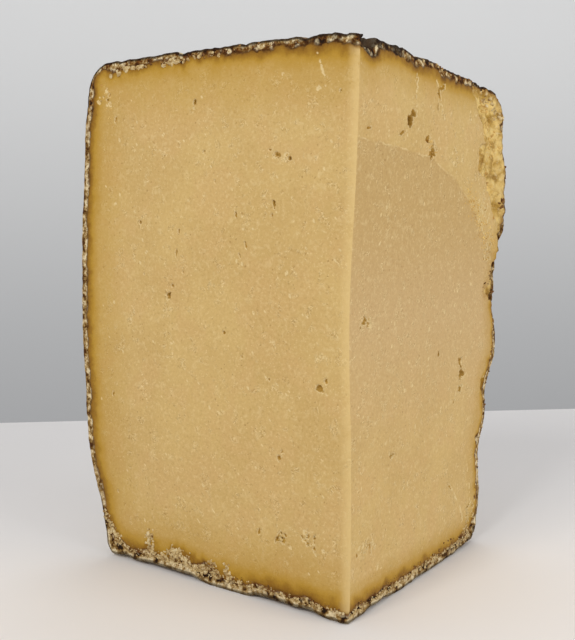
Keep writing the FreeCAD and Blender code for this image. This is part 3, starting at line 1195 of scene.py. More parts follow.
@dataclass
class CutFacePiece:
    """A cut face as a closed slab: its relief in front, a flat hidden back behind.

    Attributes:
        ARRIS_MARK: marks the vertices along the arris.
        LAYERS: what the mesh knows about each place, named as in Spot.
        FRONT_CHART: the relief's window of the export map.
        BACK_CHART: the hidden back's window.
        FRONT_START: where the first window starts out from the axis, in millimetres.
        FRONT_WIDE: how much of the face it takes in, in millimetres.
        face: the face's relief.
        crust: the crust it meets.
        fine: steps of this face for each step of the crust.
        back: how far behind the plane the hidden back lies.
    """

    ARRIS_MARK = -1
    LAYERS = tuple(each.name for each in fields(Spot) if each.name != "depth")
    FRONT_CHART = Window(0.02, 0.01, 0.90, 0.98)
    BACK_CHART = Window(0.94, 0.01, 0.05, 0.98)
    FRONT_START = -4.0
    FRONT_WIDE = 215.0

    face: Face
    crust: Crust
    fine: int = 2
    back: float = 15.0

    def _lines(self) -> tuple[list[Vector], list[Vector], list[Vector]]:
        """The crust's edge lines, stepped as finely as this face."""
        fined = []
        for line in self.crust.edge_line(self.face.plane.side):
            points = []
            for a, b in zip(line, line[1:]):
                points += [a.lerp(b, k / self.fine) for k in range(self.fine)]
            fined.append(points + [line[-1]])
        return tuple(fined)

    def build(self) -> bpy.types.Object:
        """Makes the face's mesh.

        Returns:
            The face's object.
        """
        plane = self.face.plane
        foot, wall, head = self._lines()
        columns, rows = len(foot) - 1, len(wall) - 1

        def flat(point: Vector) -> Vector:
            """A point's s and z."""
            s, z, _ = plane.read(point)
            return Vector((s, z))

        foot_flat, wall_flat, head_flat = ([flat(p) for p in line] for line in (foot, wall, head))
        low, high = foot_flat[0].y, head_flat[0].y
        heights = [blend(low, high, j / rows) for j in range(rows + 1)]
        starts = [flat(self.crust.arris(z, foot[0], head[0])) for z in heights]

        def place(i: int, j: int) -> Vector:
            """The flat place of a vertex, between the four edges."""
            u, v = i / columns, j / rows
            at = foot_flat[i] * (1 - v) + head_flat[i] * v + starts[j] * (1 - u) + wall_flat[j] * u
            at -= foot_flat[0] * (1 - u) * (1 - v) + foot_flat[-1] * u * (1 - v)
            at -= head_flat[0] * (1 - u) * v + head_flat[-1] * u * v
            return plane.point(at.x, at.y)

        bm = bmesh.new()
        rim = bm.verts.layers.int.new("rim")
        outer = [*foot, *head, *wall]
        for v, (i, j) in add_grid(bm, columns, rows, plane.side is Side.LEFT).items():
            v.co = place(i, j)
            if j == 0:
                v[rim] = 1 + i
            elif j == rows:
                v[rim] = 2 + columns + i
            elif i == columns:
                v[rim] = 3 + 2 * columns + j
            elif i == 0:
                v[rim] = self.ARRIS_MARK
        self._refine(bm)
        self._carve(bm, outer, foot[0], head[0])
        bm.verts.layers.int.remove(bm.verts.layers.int["rim"])
        self._close(bm)
        name = "cut_face_left" if plane.side is Side.LEFT else "cut_face_right"
        return finish_mesh(bm, name)

    def _refine(self, bm: bmesh.types.BMesh) -> None:
        """Makes the flat mesh finer where the openings and the crust's band are."""
        rim = bm.verts.layers.int["rim"]
        marks = [eye for eye in self.face.eyes if eye.deep > 0.9]
        chosen = set()
        for e in bm.edges:
            if e.verts[0][rim] or e.verts[1][rim]:
                continue
            s, z, _ = self.face.plane.read((e.verts[0].co + e.verts[1].co) * 0.5)
            sides = self.face.outline(s, z)
            skin = self.face.skin_distance(s, z)
            if skin < 14.0 and skin < self.face.crust_width(s, z, sides)[0] + 1.0:
                chosen.add(e)
                continue
            for eye in marks:
                if abs(s - eye.s) < 1.2 * eye.wide + 0.6 and abs(z - eye.z) < 1.2 * eye.tall + 0.6:
                    chosen.add(e)
                    break
        bmesh.ops.subdivide_edges(bm, edges=list(chosen), cuts=1, use_grid_fill=True)
        bmesh.ops.triangulate(bm, faces=[f for f in bm.faces if len(f.verts) > 4])

    def _carve(self, bm: bmesh.types.BMesh, outer: list[Vector], low: Vector, high: Vector) -> None:
        """Gives the flat mesh its relief, its marks and its map.

        Args:
            bm: the flat mesh.
            outer: where its outer vertices belong, in the order of their marks.
            low: the arris's lower end.
            high: the arris's upper end.
        """
        face, plane = self.face, self.face.plane
        marks = {name: bm.verts.layers.float.new(name) for name in self.LAYERS}
        across = bm.verts.layers.float.new("across")
        rim = bm.verts.layers.int["rim"]
        chart = bm.loops.layers.uv.new(EXPORT_MAP)
        for v in bm.verts:
            s, z, _ = plane.read(v.co)
            spot = face.spot(max(s, 0.0), z)
            for name, mark in marks.items():
                v[mark] = getattr(spot, name)
            v[across] = face.arris_distance(s, z)
            for loop in v.link_loops:
                share = (s - self.FRONT_START) / self.FRONT_WIDE
                loop[chart].uv = self.FRONT_CHART.spot(share, z / CHART_TALL)
            if not v[rim]:
                v.co = v.co - plane.outward * (spot.depth + face.chamfer(s, z)) * MM
            elif v[rim] == self.ARRIS_MARK:
                v.co = self.crust.arris(z, low, high)
            else:
                v.co = outer[v[rim] - 1]

    def _close(self, bm: bmesh.types.BMesh) -> None:
        """Closes the slab behind, out of sight."""
        plane, chart = self.face.plane, bm.loops.layers.uv[EXPORT_MAP]
        for v in extrude_rim(bm):
            s, z, _ = plane.read(v.co)
            v.co = plane.point(max(blend(s, 100.0, 0.06), self.back + 1.0), blend(z, 155.0, 0.04), self.back)
        filled = bmesh.ops.contextual_create(bm, geom=[e for e in bm.edges if e.is_boundary])["faces"]
        chart_backs(filled, chart, plane, self.BACK_CHART)


# ---------------------------------------------------------------- crumbs


class Crumb(Enum):
    """The kinds of crumb that cling to the cut faces."""

    CREAM = "crumbs_cream"
    BROWN = "crumbs_brown"
    PASTE = "crumbs_paste"


@dataclass(frozen=True)
class Heap:
    """A place on a cut face where crumbs cling, in millimetres.

    Attributes:
        side: which cut face.
        kind: what crumbs they are.
        start: its (s, z) one way.
        end: its (s, z) the other way.
        spread: how far crumbs stray from the line between them.
        count: how many crumbs it has.
        size: their largest radius.
    """

    side: Side
    kind: Crumb
    start: tuple[float, float]
    end: tuple[float, float]
    spread: float
    count: int
    size: float


HEAPS = tuple(Heap(side, kind, *row) for side, kind, rows in (
    (Side.LEFT, Crumb.CREAM, (
        ((144.0, 23.0), (141.0, 8.0), 3.4, 80, 1.9),
        ((134.0, 9.0), (121.0, 14.0), 4.2, 110, 2.0),
        ((120.0, 16.0), (112.0, 9.0), 3.8, 80, 1.8),
        ((109.0, 8.0), (99.0, 7.0), 3.0, 60, 1.6),
        ((94.0, 16.0), (91.0, 6.0), 3.0, 60, 1.7),
        ((83.0, 16.0), (80.0, 6.0), 2.2, 45, 1.6),
        ((182.0, 27.0), (168.0, 9.0), 3.4, 100, 1.6),
        ((165.0, 7.8), (3.0, 6.5), 1.9, 420, 1.25),
        ((174.0, 301.5), (150.0, 304.5), 1.2, 12, 3.0),
        ((148.0, 304.5), (60.0, 306.0), 1.6, 26, 2.3),
        ((131.0, 305.0), (121.0, 305.5), 1.6, 9, 2.6),
    )),
    (Side.RIGHT, Crumb.CREAM, (
        ((4.0, 5.0), (155.0, 6.5), 2.2, 330, 1.3),
        ((150.0, 14.0), (158.0, 8.0), 5.0, 70, 1.1),
        ((60.0, 306.0), (160.0, 302.0), 2.6, 34, 2.4),
        ((172.0, 301.0), (200.0, 282.0), 3.0, 40, 2.4),
        ((194.0, 165.0), (164.0, 30.0), 1.6, 70, 0.9),
    )),
    (Side.LEFT, Crumb.BROWN, (
        ((160.0, 9.0), (3.0, 8.0), 2.2, 90, 1.0),
        ((140.0, 9.0), (80.0, 8.0), 3.0, 40, 1.1),
        ((178.0, 303.5), (50.0, 308.0), 1.3, 80, 1.5),
    )),
    (Side.RIGHT, Crumb.BROWN, (
        ((4.0, 9.0), (155.0, 10.0), 2.4, 90, 1.1),
        ((60.0, 307.0), (150.0, 303.0), 2.0, 60, 1.5),
        ((204.0, 284.0), (203.0, 226.0), 3.0, 40, 2.4),
        ((197.0, 178.0), (190.0, 150.0), 3.4, 44, 2.4),
        ((186.0, 190.0), (172.0, 168.0), 3.4, 30, 1.0),
        ((194.0, 165.0), (164.0, 30.0), 1.2, 70, 1.2),
    )),
    (Side.LEFT, Crumb.PASTE, (
        ((178.0, 296.0), (172.0, 270.0), 3.4, 46, 0.7),
    )),
    (Side.RIGHT, Crumb.PASTE, (
        ((168.0, 300.0), (188.0, 262.0), 8.0, 70, 2.2),
        ((180.0, 244.0), (188.0, 222.0), 7.0, 70, 2.0),
        ((84.0, 262.0), (91.0, 253.0), 3.0, 12, 1.8),
        ((140.0, 236.0), (176.0, 196.0), 8.0, 240, 0.95),
        ((176.0, 218.0), (186.0, 196.0), 3.4, 60, 0.9),
    )),
) for row in rows)


@dataclass
class Crumbs:
    """All the crumbs of one kind, as one piece of real mesh.

    Attributes:
        kind: the kind.
        faces: the cut faces they cling to.
    """

    kind: Crumb
    faces: dict[Side, Face]

    def build(self) -> bpy.types.Object:
        """Makes the crumbs' mesh.

        Returns:
            The crumbs' object.
        """
        chance = random.Random(self.kind.value)
        bm = bmesh.new()
        for heap in HEAPS:
            if heap.kind is not self.kind:
                continue
            for _ in range(heap.count):
                t = chance.random()
                s = blend(heap.start[0], heap.end[0], t) + chance.gauss(0.0, 0.5) * heap.spread
                z = blend(heap.start[1], heap.end[1], t) + chance.gauss(0.0, 0.5) * heap.spread
                size = heap.size * chance.uniform(0.32, 1.0) ** 1.3
                self._add(bm, self.faces[heap.side], s, z, size, chance)
        return finish_mesh(bm, self.kind.value)

    @staticmethod
    def _add(
        bm: bmesh.types.BMesh, face: Face, s: float, z: float, size: float, chance: random.Random
    ) -> None:
        """Adds one lumpy crumb, partly sunk in the face, unless it would hang out past the crust's skin.

        Args:
            bm: the mesh to add to.
            face: the face it clings to.
            s: how far out from the axis it is.
            z: its height.
            size: its radius.
            chance: where its unevenness comes from.
        """
        stretch = Vector((chance.uniform(0.6, 1.5), chance.uniform(0.6, 1.3), chance.uniform(0.5, 1.0)))
        angle, axis = chance.uniform(0.0, math.tau), Vector((chance.random(), chance.random(), 1.0))
        bumps = [chance.uniform(0.62, 1.25) for _ in range(12)]
        if face.skin_distance(s, z) < 0.6 * size:
            return
        centre = face.plane.point(s, z, face.spot(s, z).depth + face.chamfer(s, z) + 0.35 * size)
        made = bmesh.ops.create_icosphere(bm, subdivisions=1, radius=size * MM)["verts"]
        for v, bump in zip(made, bumps):
            v.co = Vector(a * b * bump for a, b in zip(v.co, stretch))
        placed = Matrix.Translation(centre) @ Matrix.Rotation(angle, 4, axis)
        bmesh.ops.transform(bm, matrix=placed, verts=made)


# ---------------------------------------------------------------- shader graphs


class Value:
    """A shader socket that takes part in Python arithmetic."""

    def __init__(self, graph: "Graph", socket: bpy.types.NodeSocket) -> None:
        """Wraps a socket of a graph."""
        self.graph = graph
        self.socket = socket

    def _math(self, operation: str, a: "Value | float", b: "Value | float") -> "Value":
        """Adds a Math node."""
        return self.graph.add("ShaderNodeMath", {"operation": operation}, {0: a, 1: b})

    def __add__(self, other: "Value | float") -> "Value":
        """self + other."""
        return self._math("ADD", self, other)

    __radd__ = __add__

    def __sub__(self, other: "Value | float") -> "Value":
        """self - other."""
        return self._math("SUBTRACT", self, other)

    def __rsub__(self, other: "Value | float") -> "Value":
        """other - self."""
        return self._math("SUBTRACT", other, self)

    def __mul__(self, other: "Value | float") -> "Value":
        """self * other."""
        return self._math("MULTIPLY", self, other)

    __rmul__ = __mul__

    def __truediv__(self, other: "Value | float") -> "Value":
        """self / other."""
        return self._math("DIVIDE", self, other)


class Graph:
    """A material's node tree, built by expressions."""

    def __init__(self, name: str) -> None:
        """Starts an empty material of this name."""
        self.material = bpy.data.materials.new(name)
        self.material.use_nodes = True
        self.tree = self.material.node_tree
        self.tree.nodes.clear()
        self.output = self.tree.nodes.new("ShaderNodeOutputMaterial")
        self.shader = self.tree.nodes.new("ShaderNodeBsdfPrincipled")
        self.tree.links.new(self.shader.outputs[0], self.output.inputs[0])
        place = self.add("ShaderNodeTexCoord", {}, {}, "Object")
        self.place = self._vector("SCALE", {"Vector": place, "Scale": 1.0 / MM})

    def feed(self, socket: bpy.types.NodeSocket, value: object) -> None:
        """Links or sets one socket."""
        if isinstance(value, Value):
            self.tree.links.new(value.socket, socket)
        else:
            socket.default_value = value

    def add(self, kind: str, settings: dict, sockets: dict, output: str | int = 0) -> Value:
        """Adds a node.

        Args:
            kind: the node's type.
            settings: its settings, set first; "stops" fills a ramp.
            sockets: values or links for its inputs, by name or number.
            output: which of its outputs is wanted.

        Returns:
            That output.
        """
        node = self.tree.nodes.new(kind)
        for key, value in settings.items():
            if key == "stops":
                while len(node.color_ramp.elements) < len(value):
                    node.color_ramp.elements.new(0.5)
                for element, (at, shade) in zip(node.color_ramp.elements, value):
                    element.position, element.color = at, shade
            else:
                setattr(node, key, value)
        for key, value in sockets.items():
            self.feed(node.inputs[key], value)
        return Value(self, node.outputs[output])

    def _vector(self, operation: str, sockets: dict) -> Value:
        """Adds a Vector Math node."""
        return self.add("ShaderNodeVectorMath", {"operation": operation}, sockets, "Vector")

    def attribute(self, name: str) -> Value:
        """One of the mesh's own measures."""
        return self.add("ShaderNodeAttribute", {"attribute_name": name}, {}, "Fac")

    def cloud(
        self, size: float, detail: float = 3.0, rough: float = 0.5, shift: float = 0.0, skew: float = 0.0
    ) -> Value:
        """Cloudy noise of 0 to 1.

        Args:
            size: the width of a cloud in millimetres.
            detail: how many finer layers it has.
            rough: how strong they are.
            shift: moves the pattern elsewhere.
            skew: how much it is distorted.

        Returns:
            The noise.
        """
        at = self.place
        if shift:
            at = self._vector("ADD", {0: at, 1: (shift, shift * 2, -shift)})
        sockets = {"Vector": at, "Scale": 1.0 / size, "Detail": detail, "Roughness": rough, "Distortion": skew}
        return self.add("ShaderNodeTexNoise", {}, sockets)

    def cell(self, size: float, warp: float = 0.0) -> Value:
        """The distance to the nearest centre among cells of a size in millimetres, bent by up to warp."""
        at = self.place
        if warp:
            sockets = {"Vector": at, "Scale": 0.8 / size, "Detail": 2.0}
            sway = self.add("ShaderNodeTexNoise", {}, sockets, "Color")
            at = self._vector("ADD", {0: at, 1: self._vector("SCALE", {"Vector": sway, "Scale": warp})})
        return self.add("ShaderNodeTexVoronoi", {}, {"Vector": at, "Scale": 1.0 / size}, "Distance")

    def height(self) -> Value:
        """How high a place is, in millimetres."""
        return self.add("ShaderNodeSeparateXYZ", {}, {0: self.place}, "Z")

    def between(self, value: Value, low: float, high: float) -> Value:
        """0 where the value is below low, 1 above high, eased between."""
        settings = {"interpolation_type": "SMOOTHSTEP"}
        sockets = {"Value": value, "From Min": low, "From Max": high}
        return self.add("ShaderNodeMapRange", settings, sockets, 0)

    def mix(self, share: "Value | float", a: object, b: object) -> Value:
        """Mixes two colours."""
        settings = {"data_type": "RGBA", "blend_type": "MIX", "clamp_factor": True}
        return self.add("ShaderNodeMix", settings, {0: share, 6: a, 7: b}, 2)

    def layers(self, shade: object, *rows: tuple) -> Value:
        """Lays colours over a shade, one after the other.

        Args:
            shade: what lies below them.
            rows: for each colour, the value that places it, where it starts, where it is full, its share
                there, and the colour.

        Returns:
            The whole.
        """
        for value, start, full, share, tint in rows:
            shade = self.mix(self.between(value, start, full) * share, shade, tint)
        return shade

    def ramp(self, value: Value, *stops: tuple[float, tuple]) -> Value:
        """A colour ramp."""
        return self.add("ShaderNodeValToRGB", {"stops": stops}, {0: value}, 0)

    def bump(self, height: Value, distance: float, strength: float, under: Value | None = None) -> Value:
        """A bump, with height in shares of distance, which is in millimetres."""
        sockets = {"Height": height, "Distance": distance * MM, "Strength": strength}
        if under is not None:
            sockets["Normal"] = under
        return self.add("ShaderNodeBump", {}, sockets, 0)

    def dress(
        self,
        piece: bpy.types.Object,
        shade: Value,
        rough: "Value | float",
        shine: float,
        normal: Value | None = None,
    ) -> None:
        """Finishes the material and gives it to a piece.

        Args:
            piece: the piece.
            shade: its colour.
            rough: its roughness.
            shine: how strongly it reflects, 0 to 1.
            normal: its bump, if any.
        """
        for name, value in (("Base Color", shade), ("Roughness", rough), ("Specular IOR Level", shine)):
            self.feed(self.shader.inputs[name], value)
        if normal is not None:
            self.feed(self.shader.inputs["Normal"], normal)
        piece.data.materials.append(self.material)


@dataclass(frozen=True)
class Paste:
    """The aged paste and the crust's section round it.

    Attributes:
        name: what its materials are called.
        pale: the yellower paste's paler clouds.
        deep: its deeper clouds.
        rosy: its rosier clouds.
        under: the greyer paste just below the crescent step.
        cool: the greyer paste lower down.
        fleck: the fine pale flecks, and the painted highlights on lips, squiggles, the step and the tear.
        shadow: the fine dark specks.
        ripe: the ochre paste near the crust, and painted shade in the openings and the tear's creases.
        bruise: the brown zone under the crust, and painted shade in openings, squiggles and the tear.
        umber: the darkest brown beside the crust, and painted shade in the deepest openings.
        line: the dark line at the skin, which at the foot is also painted contact shadow; and the darkest
            grains and pores.
        cream: the crust's pale grains.
        tan: its tan grains.
        grey: its grey-brown grains.
        rust: its red-brown grains.
        coal: its nearly black stretch.
        broken: freshly broken paste.
        strip: the painted highlight along the shaved arris.
    """

    name: str = "paste"
    pale: tuple = colour(207, 175, 112)
    deep: tuple = colour(201, 168, 106)
    rosy: tuple = colour(206, 170, 111)
    under: tuple = colour(194, 161, 104)
    cool: tuple = colour(201, 169, 119)
    fleck: tuple = colour(230, 207, 154)
    shadow: tuple = colour(160, 122, 66)
    ripe: tuple = colour(180, 138, 38)
    bruise: tuple = colour(136, 94, 24)
    umber: tuple = colour(80, 46, 8)
    line: tuple = colour(34, 17, 2)
    cream: tuple = colour(232, 213, 172)
    tan: tuple = colour(172, 142, 92)
    grey: tuple = colour(138, 106, 52)
    rust: tuple = colour(114, 66, 18)
    coal: tuple = colour(30, 15, 3)
    broken: tuple = colour(234, 203, 128)
    strip: tuple = colour(214, 185, 126)

    def dress(self, piece: bpy.types.Object) -> None:
        """Gives a cut face this finish."""
        g = Graph(f"{self.name}_{piece.name}")
        inside = g.attribute("inside") + (g.cloud(4.5, 4.0, 0.65) - 0.5) * 2.2
        skin, torn, hollow = g.attribute("skin"), g.attribute("torn"), g.attribute("hollow")
        hollow = hollow + (g.cloud(1.8, 3.0, 0.7, 91.0) - 0.5) * g.between(hollow, 0.1, 0.9) * 3.0
        grain = g.cloud(1.7, 3.0, 0.7, 5.0)
        shade = self._clean(g, grain)
        shade = self._ripened(g, shade, inside)
        shade = g.mix(torn, shade, self._torn(g, skin))
        # The openings: a pale lip at the rim, part the paste's pale rim and part painted highlight; inside,
        # ochre to dark brown with depth, part the paste's own brown and part painted shade in the hollow.
        pale_lip_and_highlight = g.between(hollow, 0.02, 0.2) * g.between(hollow, 0.9, 0.45)
        shade = g.layers(
            g.mix(pale_lip_and_highlight * 0.75, shade, self.fleck),
            (hollow, 0.6, 1.3, 0.7, self.ripe),
            (hollow, 1.4, 2.6, 0.42, self.bruise),
            (hollow, 2.6, 4.0, 0.3, self.umber),
        )
        in_crust = g.between(inside, 0.5, -0.5)
        shade = g.mix(in_crust, shade, self._section(g, skin, inside))
        # The pale strip along the shaved arris, brightest right at it: a painted highlight on the worn,
        # rounded edge.
        edge = g.attribute("across") + (g.cloud(14.0, 3.0) - 0.5) * 2.6
        strip = g.between(edge, 7.0, -1.0) * g.between(inside, -0.5, 3.0)
        shade = g.mix(strip * g.between(g.cloud(8.0, 4.0, 0.6, 71.0), 0.2, 0.5) * 0.9, shade, self.strip)
        rough = 0.56 + (grain - 0.5) * 0.3 + in_crust * 0.25
        grainy = g.bump(grain, 0.5, 0.6, g.bump(g.cloud(0.8, 3.0, 0.7, 2.0), 0.2, 0.6))
        grainy = g.bump((1.0 - g.cell(8.0, 6.0)) * torn, 2.4, 0.8, grainy)
        crumbly = g.cell(1.5, 1.2) * (in_crust + torn * 0.6)
        g.dress(piece, shade, rough, 0.16, g.bump(crumbly, 0.9, 0.8, grainy))

    def _clean(self, g: Graph, grain: Value) -> Value:
        """The cleanly cut paste with its flecks and specks, and painted highlight and shade on its squiggles
        and crescent step.

        Args:
            g: the material.
            grain: its fine grain.

        Returns:
            Its colour.
        """
        cloud = g.between(g.cloud(42.0, 4.0, 0.55), 0.36, 0.64)
        warm = g.mix(cloud, self.deep, self.pale)
        rosy = g.between(g.cloud(26.0, 3.0, 0.5, 51.0), 0.45, 0.62)
        warm = g.mix(rosy * 0.55, warm, self.rosy)
        cool = g.mix(g.between(g.height(), 232.0, 150.0), self.under, self.cool)
        shade = g.layers(
            g.mix(g.attribute("below"), warm, cool),
            (grain, 0.50, 0.78, 0.46, self.fleck),
            (grain, 0.48, 0.24, 0.34, self.shadow),
            (g.cloud(4.0, 4.0, 0.65, 9.0, 0.6), 0.53, 0.68, 0.30, self.fleck),
        )
        gathered = g.between(g.cloud(13.0, 3.0, 0.6, 3.0), 0.34, 0.66)
        flecks = g.between(g.cell(2.1, 3.4), 0.24, 0.08) * gathered
        shade = g.mix(flecks * 0.75, shade, self.fleck)
        scattered = g.between(g.cloud(10.0, 2.0, 0.5, 7.0), 0.46, 0.62)
        specks = g.between(g.cell(3.4, 2.6), 0.19, 0.09) * scattered
        shade = g.mix(specks * 0.6, shade, self.shadow)
        # Squiggles: one thin curling line laid twice, a little apart, pale as painted highlight and brown as
        # painted shade, standing for the lit and shaded sides of tiny cracks.
        nests = g.between(g.cloud(7.0, 2.0, 0.5, 61.0), 0.55, 0.66)
        for shift, tint, share in ((70.4, self.fleck, 0.8), (70.0, self.bruise, 0.38)):
            wave = g.cloud(3.0, 2.0, 0.6, shift, 0.8)
            lit_and_shaded_curl = g.between(wave, 0.455, 0.495) * g.between(wave, 0.545, 0.505)
            shade = g.mix(lit_and_shaded_curl * nests * share, shade, tint)
        # A pale line along the crescent step's edge: painted highlight.
        edge = g.attribute("below") + (g.cloud(2.0, 3.0) - 0.5) * 0.5
        step_highlight = g.between(edge, 0.1, 0.4) * g.between(edge, 0.95, 0.6) * g.between(g.height(), 192.0, 202.0)
        return g.mix(step_highlight * g.between(g.cloud(9.0, 3.0, 0.6, 81.0), 0.42, 0.62) * 0.6, shade, self.fleck)

    def _ripened(self, g: Graph, shade: Value, inside: Value) -> Value:
        """The paste's ochre and brown stain beside the crust.

        Args:
            g: the material.
            shade: the clean paste's colour.
            inside: the distance in from the crust's band.

        Returns:
            The colour with its stain.
        """
        share = inside / g.attribute("zone")
        near = g.between(share, 12.0, 2.0) * 0.45 + g.between(share, 4.0, 0.8) * 0.5
        shade = g.mix(near, shade, self.ripe)
        streak = (g.cloud(12.0, 6.0, 0.75, 12.0) - 0.5) * 2.6
        shade = g.mix(g.between(share + streak, 1.9, 0.2) * 0.9, shade, self.bruise)
        return g.mix(g.between(share + streak * 0.8, 0.5, -0.2) * 0.75, shade, self.umber)

    def _torn(self, g: Graph, skin: Value) -> Value:
        """The broken paste where the crust tore away, with painted shade in its creases and painted highlight
        specks.

        Args:
            g: the material.
            skin: the distance in from the skin.

        Returns:
            Its colour.
        """
        crevice = g.attribute("crevice") + (g.cloud(4.0, 4.0, 0.6, 21.0) - 0.5) * 0.5
        patchy = g.between(g.cloud(14.0, 4.0, 0.65, 26.0), 0.36, 0.62)
        lumps = g.cell(8.0, 6.0)
        return g.layers(
            g.mix(patchy * 0.4, self.broken, self.pale),
            # Painted shade: ochre and brown deepening into the creases between the lumps.
            (crevice, 0.1, 0.9, 0.55, self.ripe),
            (crevice, 0.8, 1.25, 0.5, self.bruise),
            (g.cloud(5.0, 4.0, 0.65, 24.0), 0.57, 0.68, 0.3, self.bruise),
            # Painted shade: the lumps' edges ochre and brown, their middles left bright.
            (lumps, 0.42, 0.72, 0.42, self.ripe),
            (lumps, 0.58, 0.84, 0.55, self.bruise),
            # Painted highlight: pale specks on the broken paste.
            (g.cloud(2.6, 4.0, 0.7, 28.0), 0.54, 0.66, 0.6, self.fleck),
            (skin, 30.0, 42.0, 0.5, self.broken),
            (skin + (g.cloud(5.0, 5.0, 0.7) - 0.5) * 14.0, 6.5, 0.5, 0.7, self.bruise),
            (skin + (g.cloud(4.0, 4.0, 0.6, 2.0) - 0.5) * 9.0, 3.6, 0.5, 0.75, self.rust),
        )

    def _section(self, g: Graph, skin: Value, inside: Value) -> Value:
        """The crust, cut through: blobs and grains between dark seams.

        Args:
            g: the material.
            skin: the distance in from the skin.
            inside: the distance in from the crust's band.

        Returns:
            Its colour.
        """
        low = g.between(g.height(), 60.0, 25.0)
        high = g.between(g.height(), 262.0, 288.0)
        lit = g.between(skin, 5.5, 1.5)
        head = g.ramp(
            g.cloud(4.6, 4.0, 0.62, 31.0), (0.38, self.line), (0.42, self.umber), (0.46, self.rust),
            (0.50, self.grey), (0.55, self.tan), (0.61, self.cream),
        )
        foot = g.ramp(
            g.cloud(6.0, 4.0, 0.62, 32.0) + (lit - 0.5) * 0.08, (0.38, self.line), (0.43, self.umber),
            (0.475, self.grey), (0.53, self.tan), (0.61, self.cream),
        )
        wall = g.ramp(
            g.cloud(4.0, 4.0, 0.65, 33.0) + (0.5 - lit) * 0.08, (0.38, self.umber), (0.44, self.grey),
            (0.50, self.tan), (0.60, self.cream),
        )
        shade = g.mix(high, g.mix(low, wall, foot), head)
        button = g.cell(4.6, 3.0)
        blobs = g.between(button, 0.44, 0.38) * g.between(g.cloud(17.0, 2.0, 0.5, 35.0), 0.48, 0.56)
        rings = blobs * g.between(button, 0.28, 0.38)
        shade = g.mix(blobs * (high + low * 0.5) * 0.9, shade, self.cream)
        shade = g.mix(rings * (high + low * 0.5) * 0.85, shade, self.umber)
        pores = g.between(g.cell(1.9, 1.6), 0.30, 0.12)
        shade = g.mix(pores * (0.65 - low * 0.4), shade, self.line)
        ragged = (g.cloud(3.0, 4.0, 0.6, 39.0) - 0.5) * 1.6
        inner = g.between(inside + ragged, -1.9, -0.4)
        shade = g.mix(inner * 0.8, shade, g.mix(low, self.umber, self.rust))
        # The dark line along the skin, at the head and the foot only: at the head the rind's dark edge, at the
        # foot wider and also painted contact shadow where the cheese meets the table.
        thick = high + low * 0.8
        outer = g.between(skin + ragged * 0.6, 0.5 + high * 1.4 + low * 2.0, 0.2 + high * 0.8 + low * 1.1)
        shade = g.mix(outer * thick * 0.9, shade, self.line)
        burnt = g.attribute("char") * g.between(g.cloud(6.0, 4.0, 0.65, 41.0), 0.40, 0.60)
        return g.mix(burnt * 0.9, shade, self.coal)


@dataclass(frozen=True)
class DryCrust:
    """The crust's outer skin: dusty beige-grey with ochre and red-brown patches, dark in its pits.

    Attributes:
        name: what its material is called.
        dust: its pale mould dust.
        stone: its usual beige-grey.
        ochre: its golden patches.
        rust: its red-brown patches.
        umber: its darker patches.
        pit: the bottoms of its pits.
        coal: its nearly black stretch beside the arris.
    """

    name: str = "dry_crust"
    dust: tuple = colour(214, 199, 164)
    stone: tuple = colour(176, 152, 110)
    ochre: tuple = colour(178, 132, 72)
    rust: tuple = colour(136, 86, 46)
    umber: tuple = colour(122, 92, 56)
    pit: tuple = colour(66, 47, 30)
    coal: tuple = colour(40, 28, 18)

    def dress(self, piece: bpy.types.Object) -> None:
        """Gives the crust this finish."""
        g = Graph(self.name)
        worn = g.attribute("worn")
        middle = g.cloud(12.0, 5.0, 0.68, 4.0, 0.5)
        powder = g.cloud(6.0, 6.0, 0.75, 8.0) + g.between(worn, 2.2, 0.2) * 0.16
        specks = g.between(g.cell(2.6, 2.0), 0.26, 0.12) * g.between(g.cloud(14.0, 3.0, 0.6, 6.0), 0.46, 0.6)
        grains = g.between(g.cell(1.4, 1.0), 0.34, 0.16) * g.between(g.cloud(9.0, 3.0, 0.6, 9.0), 0.4, 0.6)
        shade = g.layers(
            g.mix(g.between(g.cloud(52.0, 4.0, 0.6), 0.36, 0.64), self.umber, self.stone),
            (middle, 0.46, 0.66, 0.75, self.ochre),
            (g.cloud(19.0, 5.0, 0.7, 18.0, 0.6), 0.55, 0.66, 0.7, self.rust),
            (powder, 0.48, 0.80, 0.85, self.dust),
            (worn + (g.cloud(3.0, 4.0, 0.7, 14.0) - 0.5) * 3.0, 1.9, 4.2, 0.75, self.pit),
        )
        shade = g.mix(grains * 0.5, g.mix(specks * 0.7, shade, self.pit), self.dust)
        shade = g.mix(g.attribute("char") * 0.9, shade, self.coal)
        coarse = g.bump(g.cloud(5.0, 5.0, 0.7, 1.0), 2.4, 0.8)
        pitted = g.bump(1.0 - specks, 1.2, 0.8, coarse)
        fine = g.bump(g.cloud(1.0, 3.0, 0.8, 3.0), 0.6, 0.8, pitted)
        g.dress(piece, shade, 0.82 + (middle - 0.5) * 0.3, 0.25, fine)


@dataclass(frozen=True)
class CrumbFinish:
    """The finish of one kind of crumb.

    Attributes:
        kind: the kind.
        light: its paler crumbs.
        middle: its usual colour.
        dark: its darker crumbs.
    """

    kind: Crumb
    light: tuple
    middle: tuple
    dark: tuple

    def dress(self, piece: bpy.types.Object) -> None:
        """Gives the crumbs this finish."""
        g = Graph(piece.name)
        stops = ((0.34, self.dark), (0.48, self.middle), (0.62, self.light), (0.9, self.light))
        shade = g.ramp(g.cloud(3.4, 4.0, 0.7, 2.0), *stops)
        rough = 0.75 + (g.cloud(2.0, 3.0) - 0.5) * 0.3
        g.dress(piece, shade, rough, 0.3, g.bump(g.cloud(0.7, 3.0, 0.7), 0.35, 0.8))


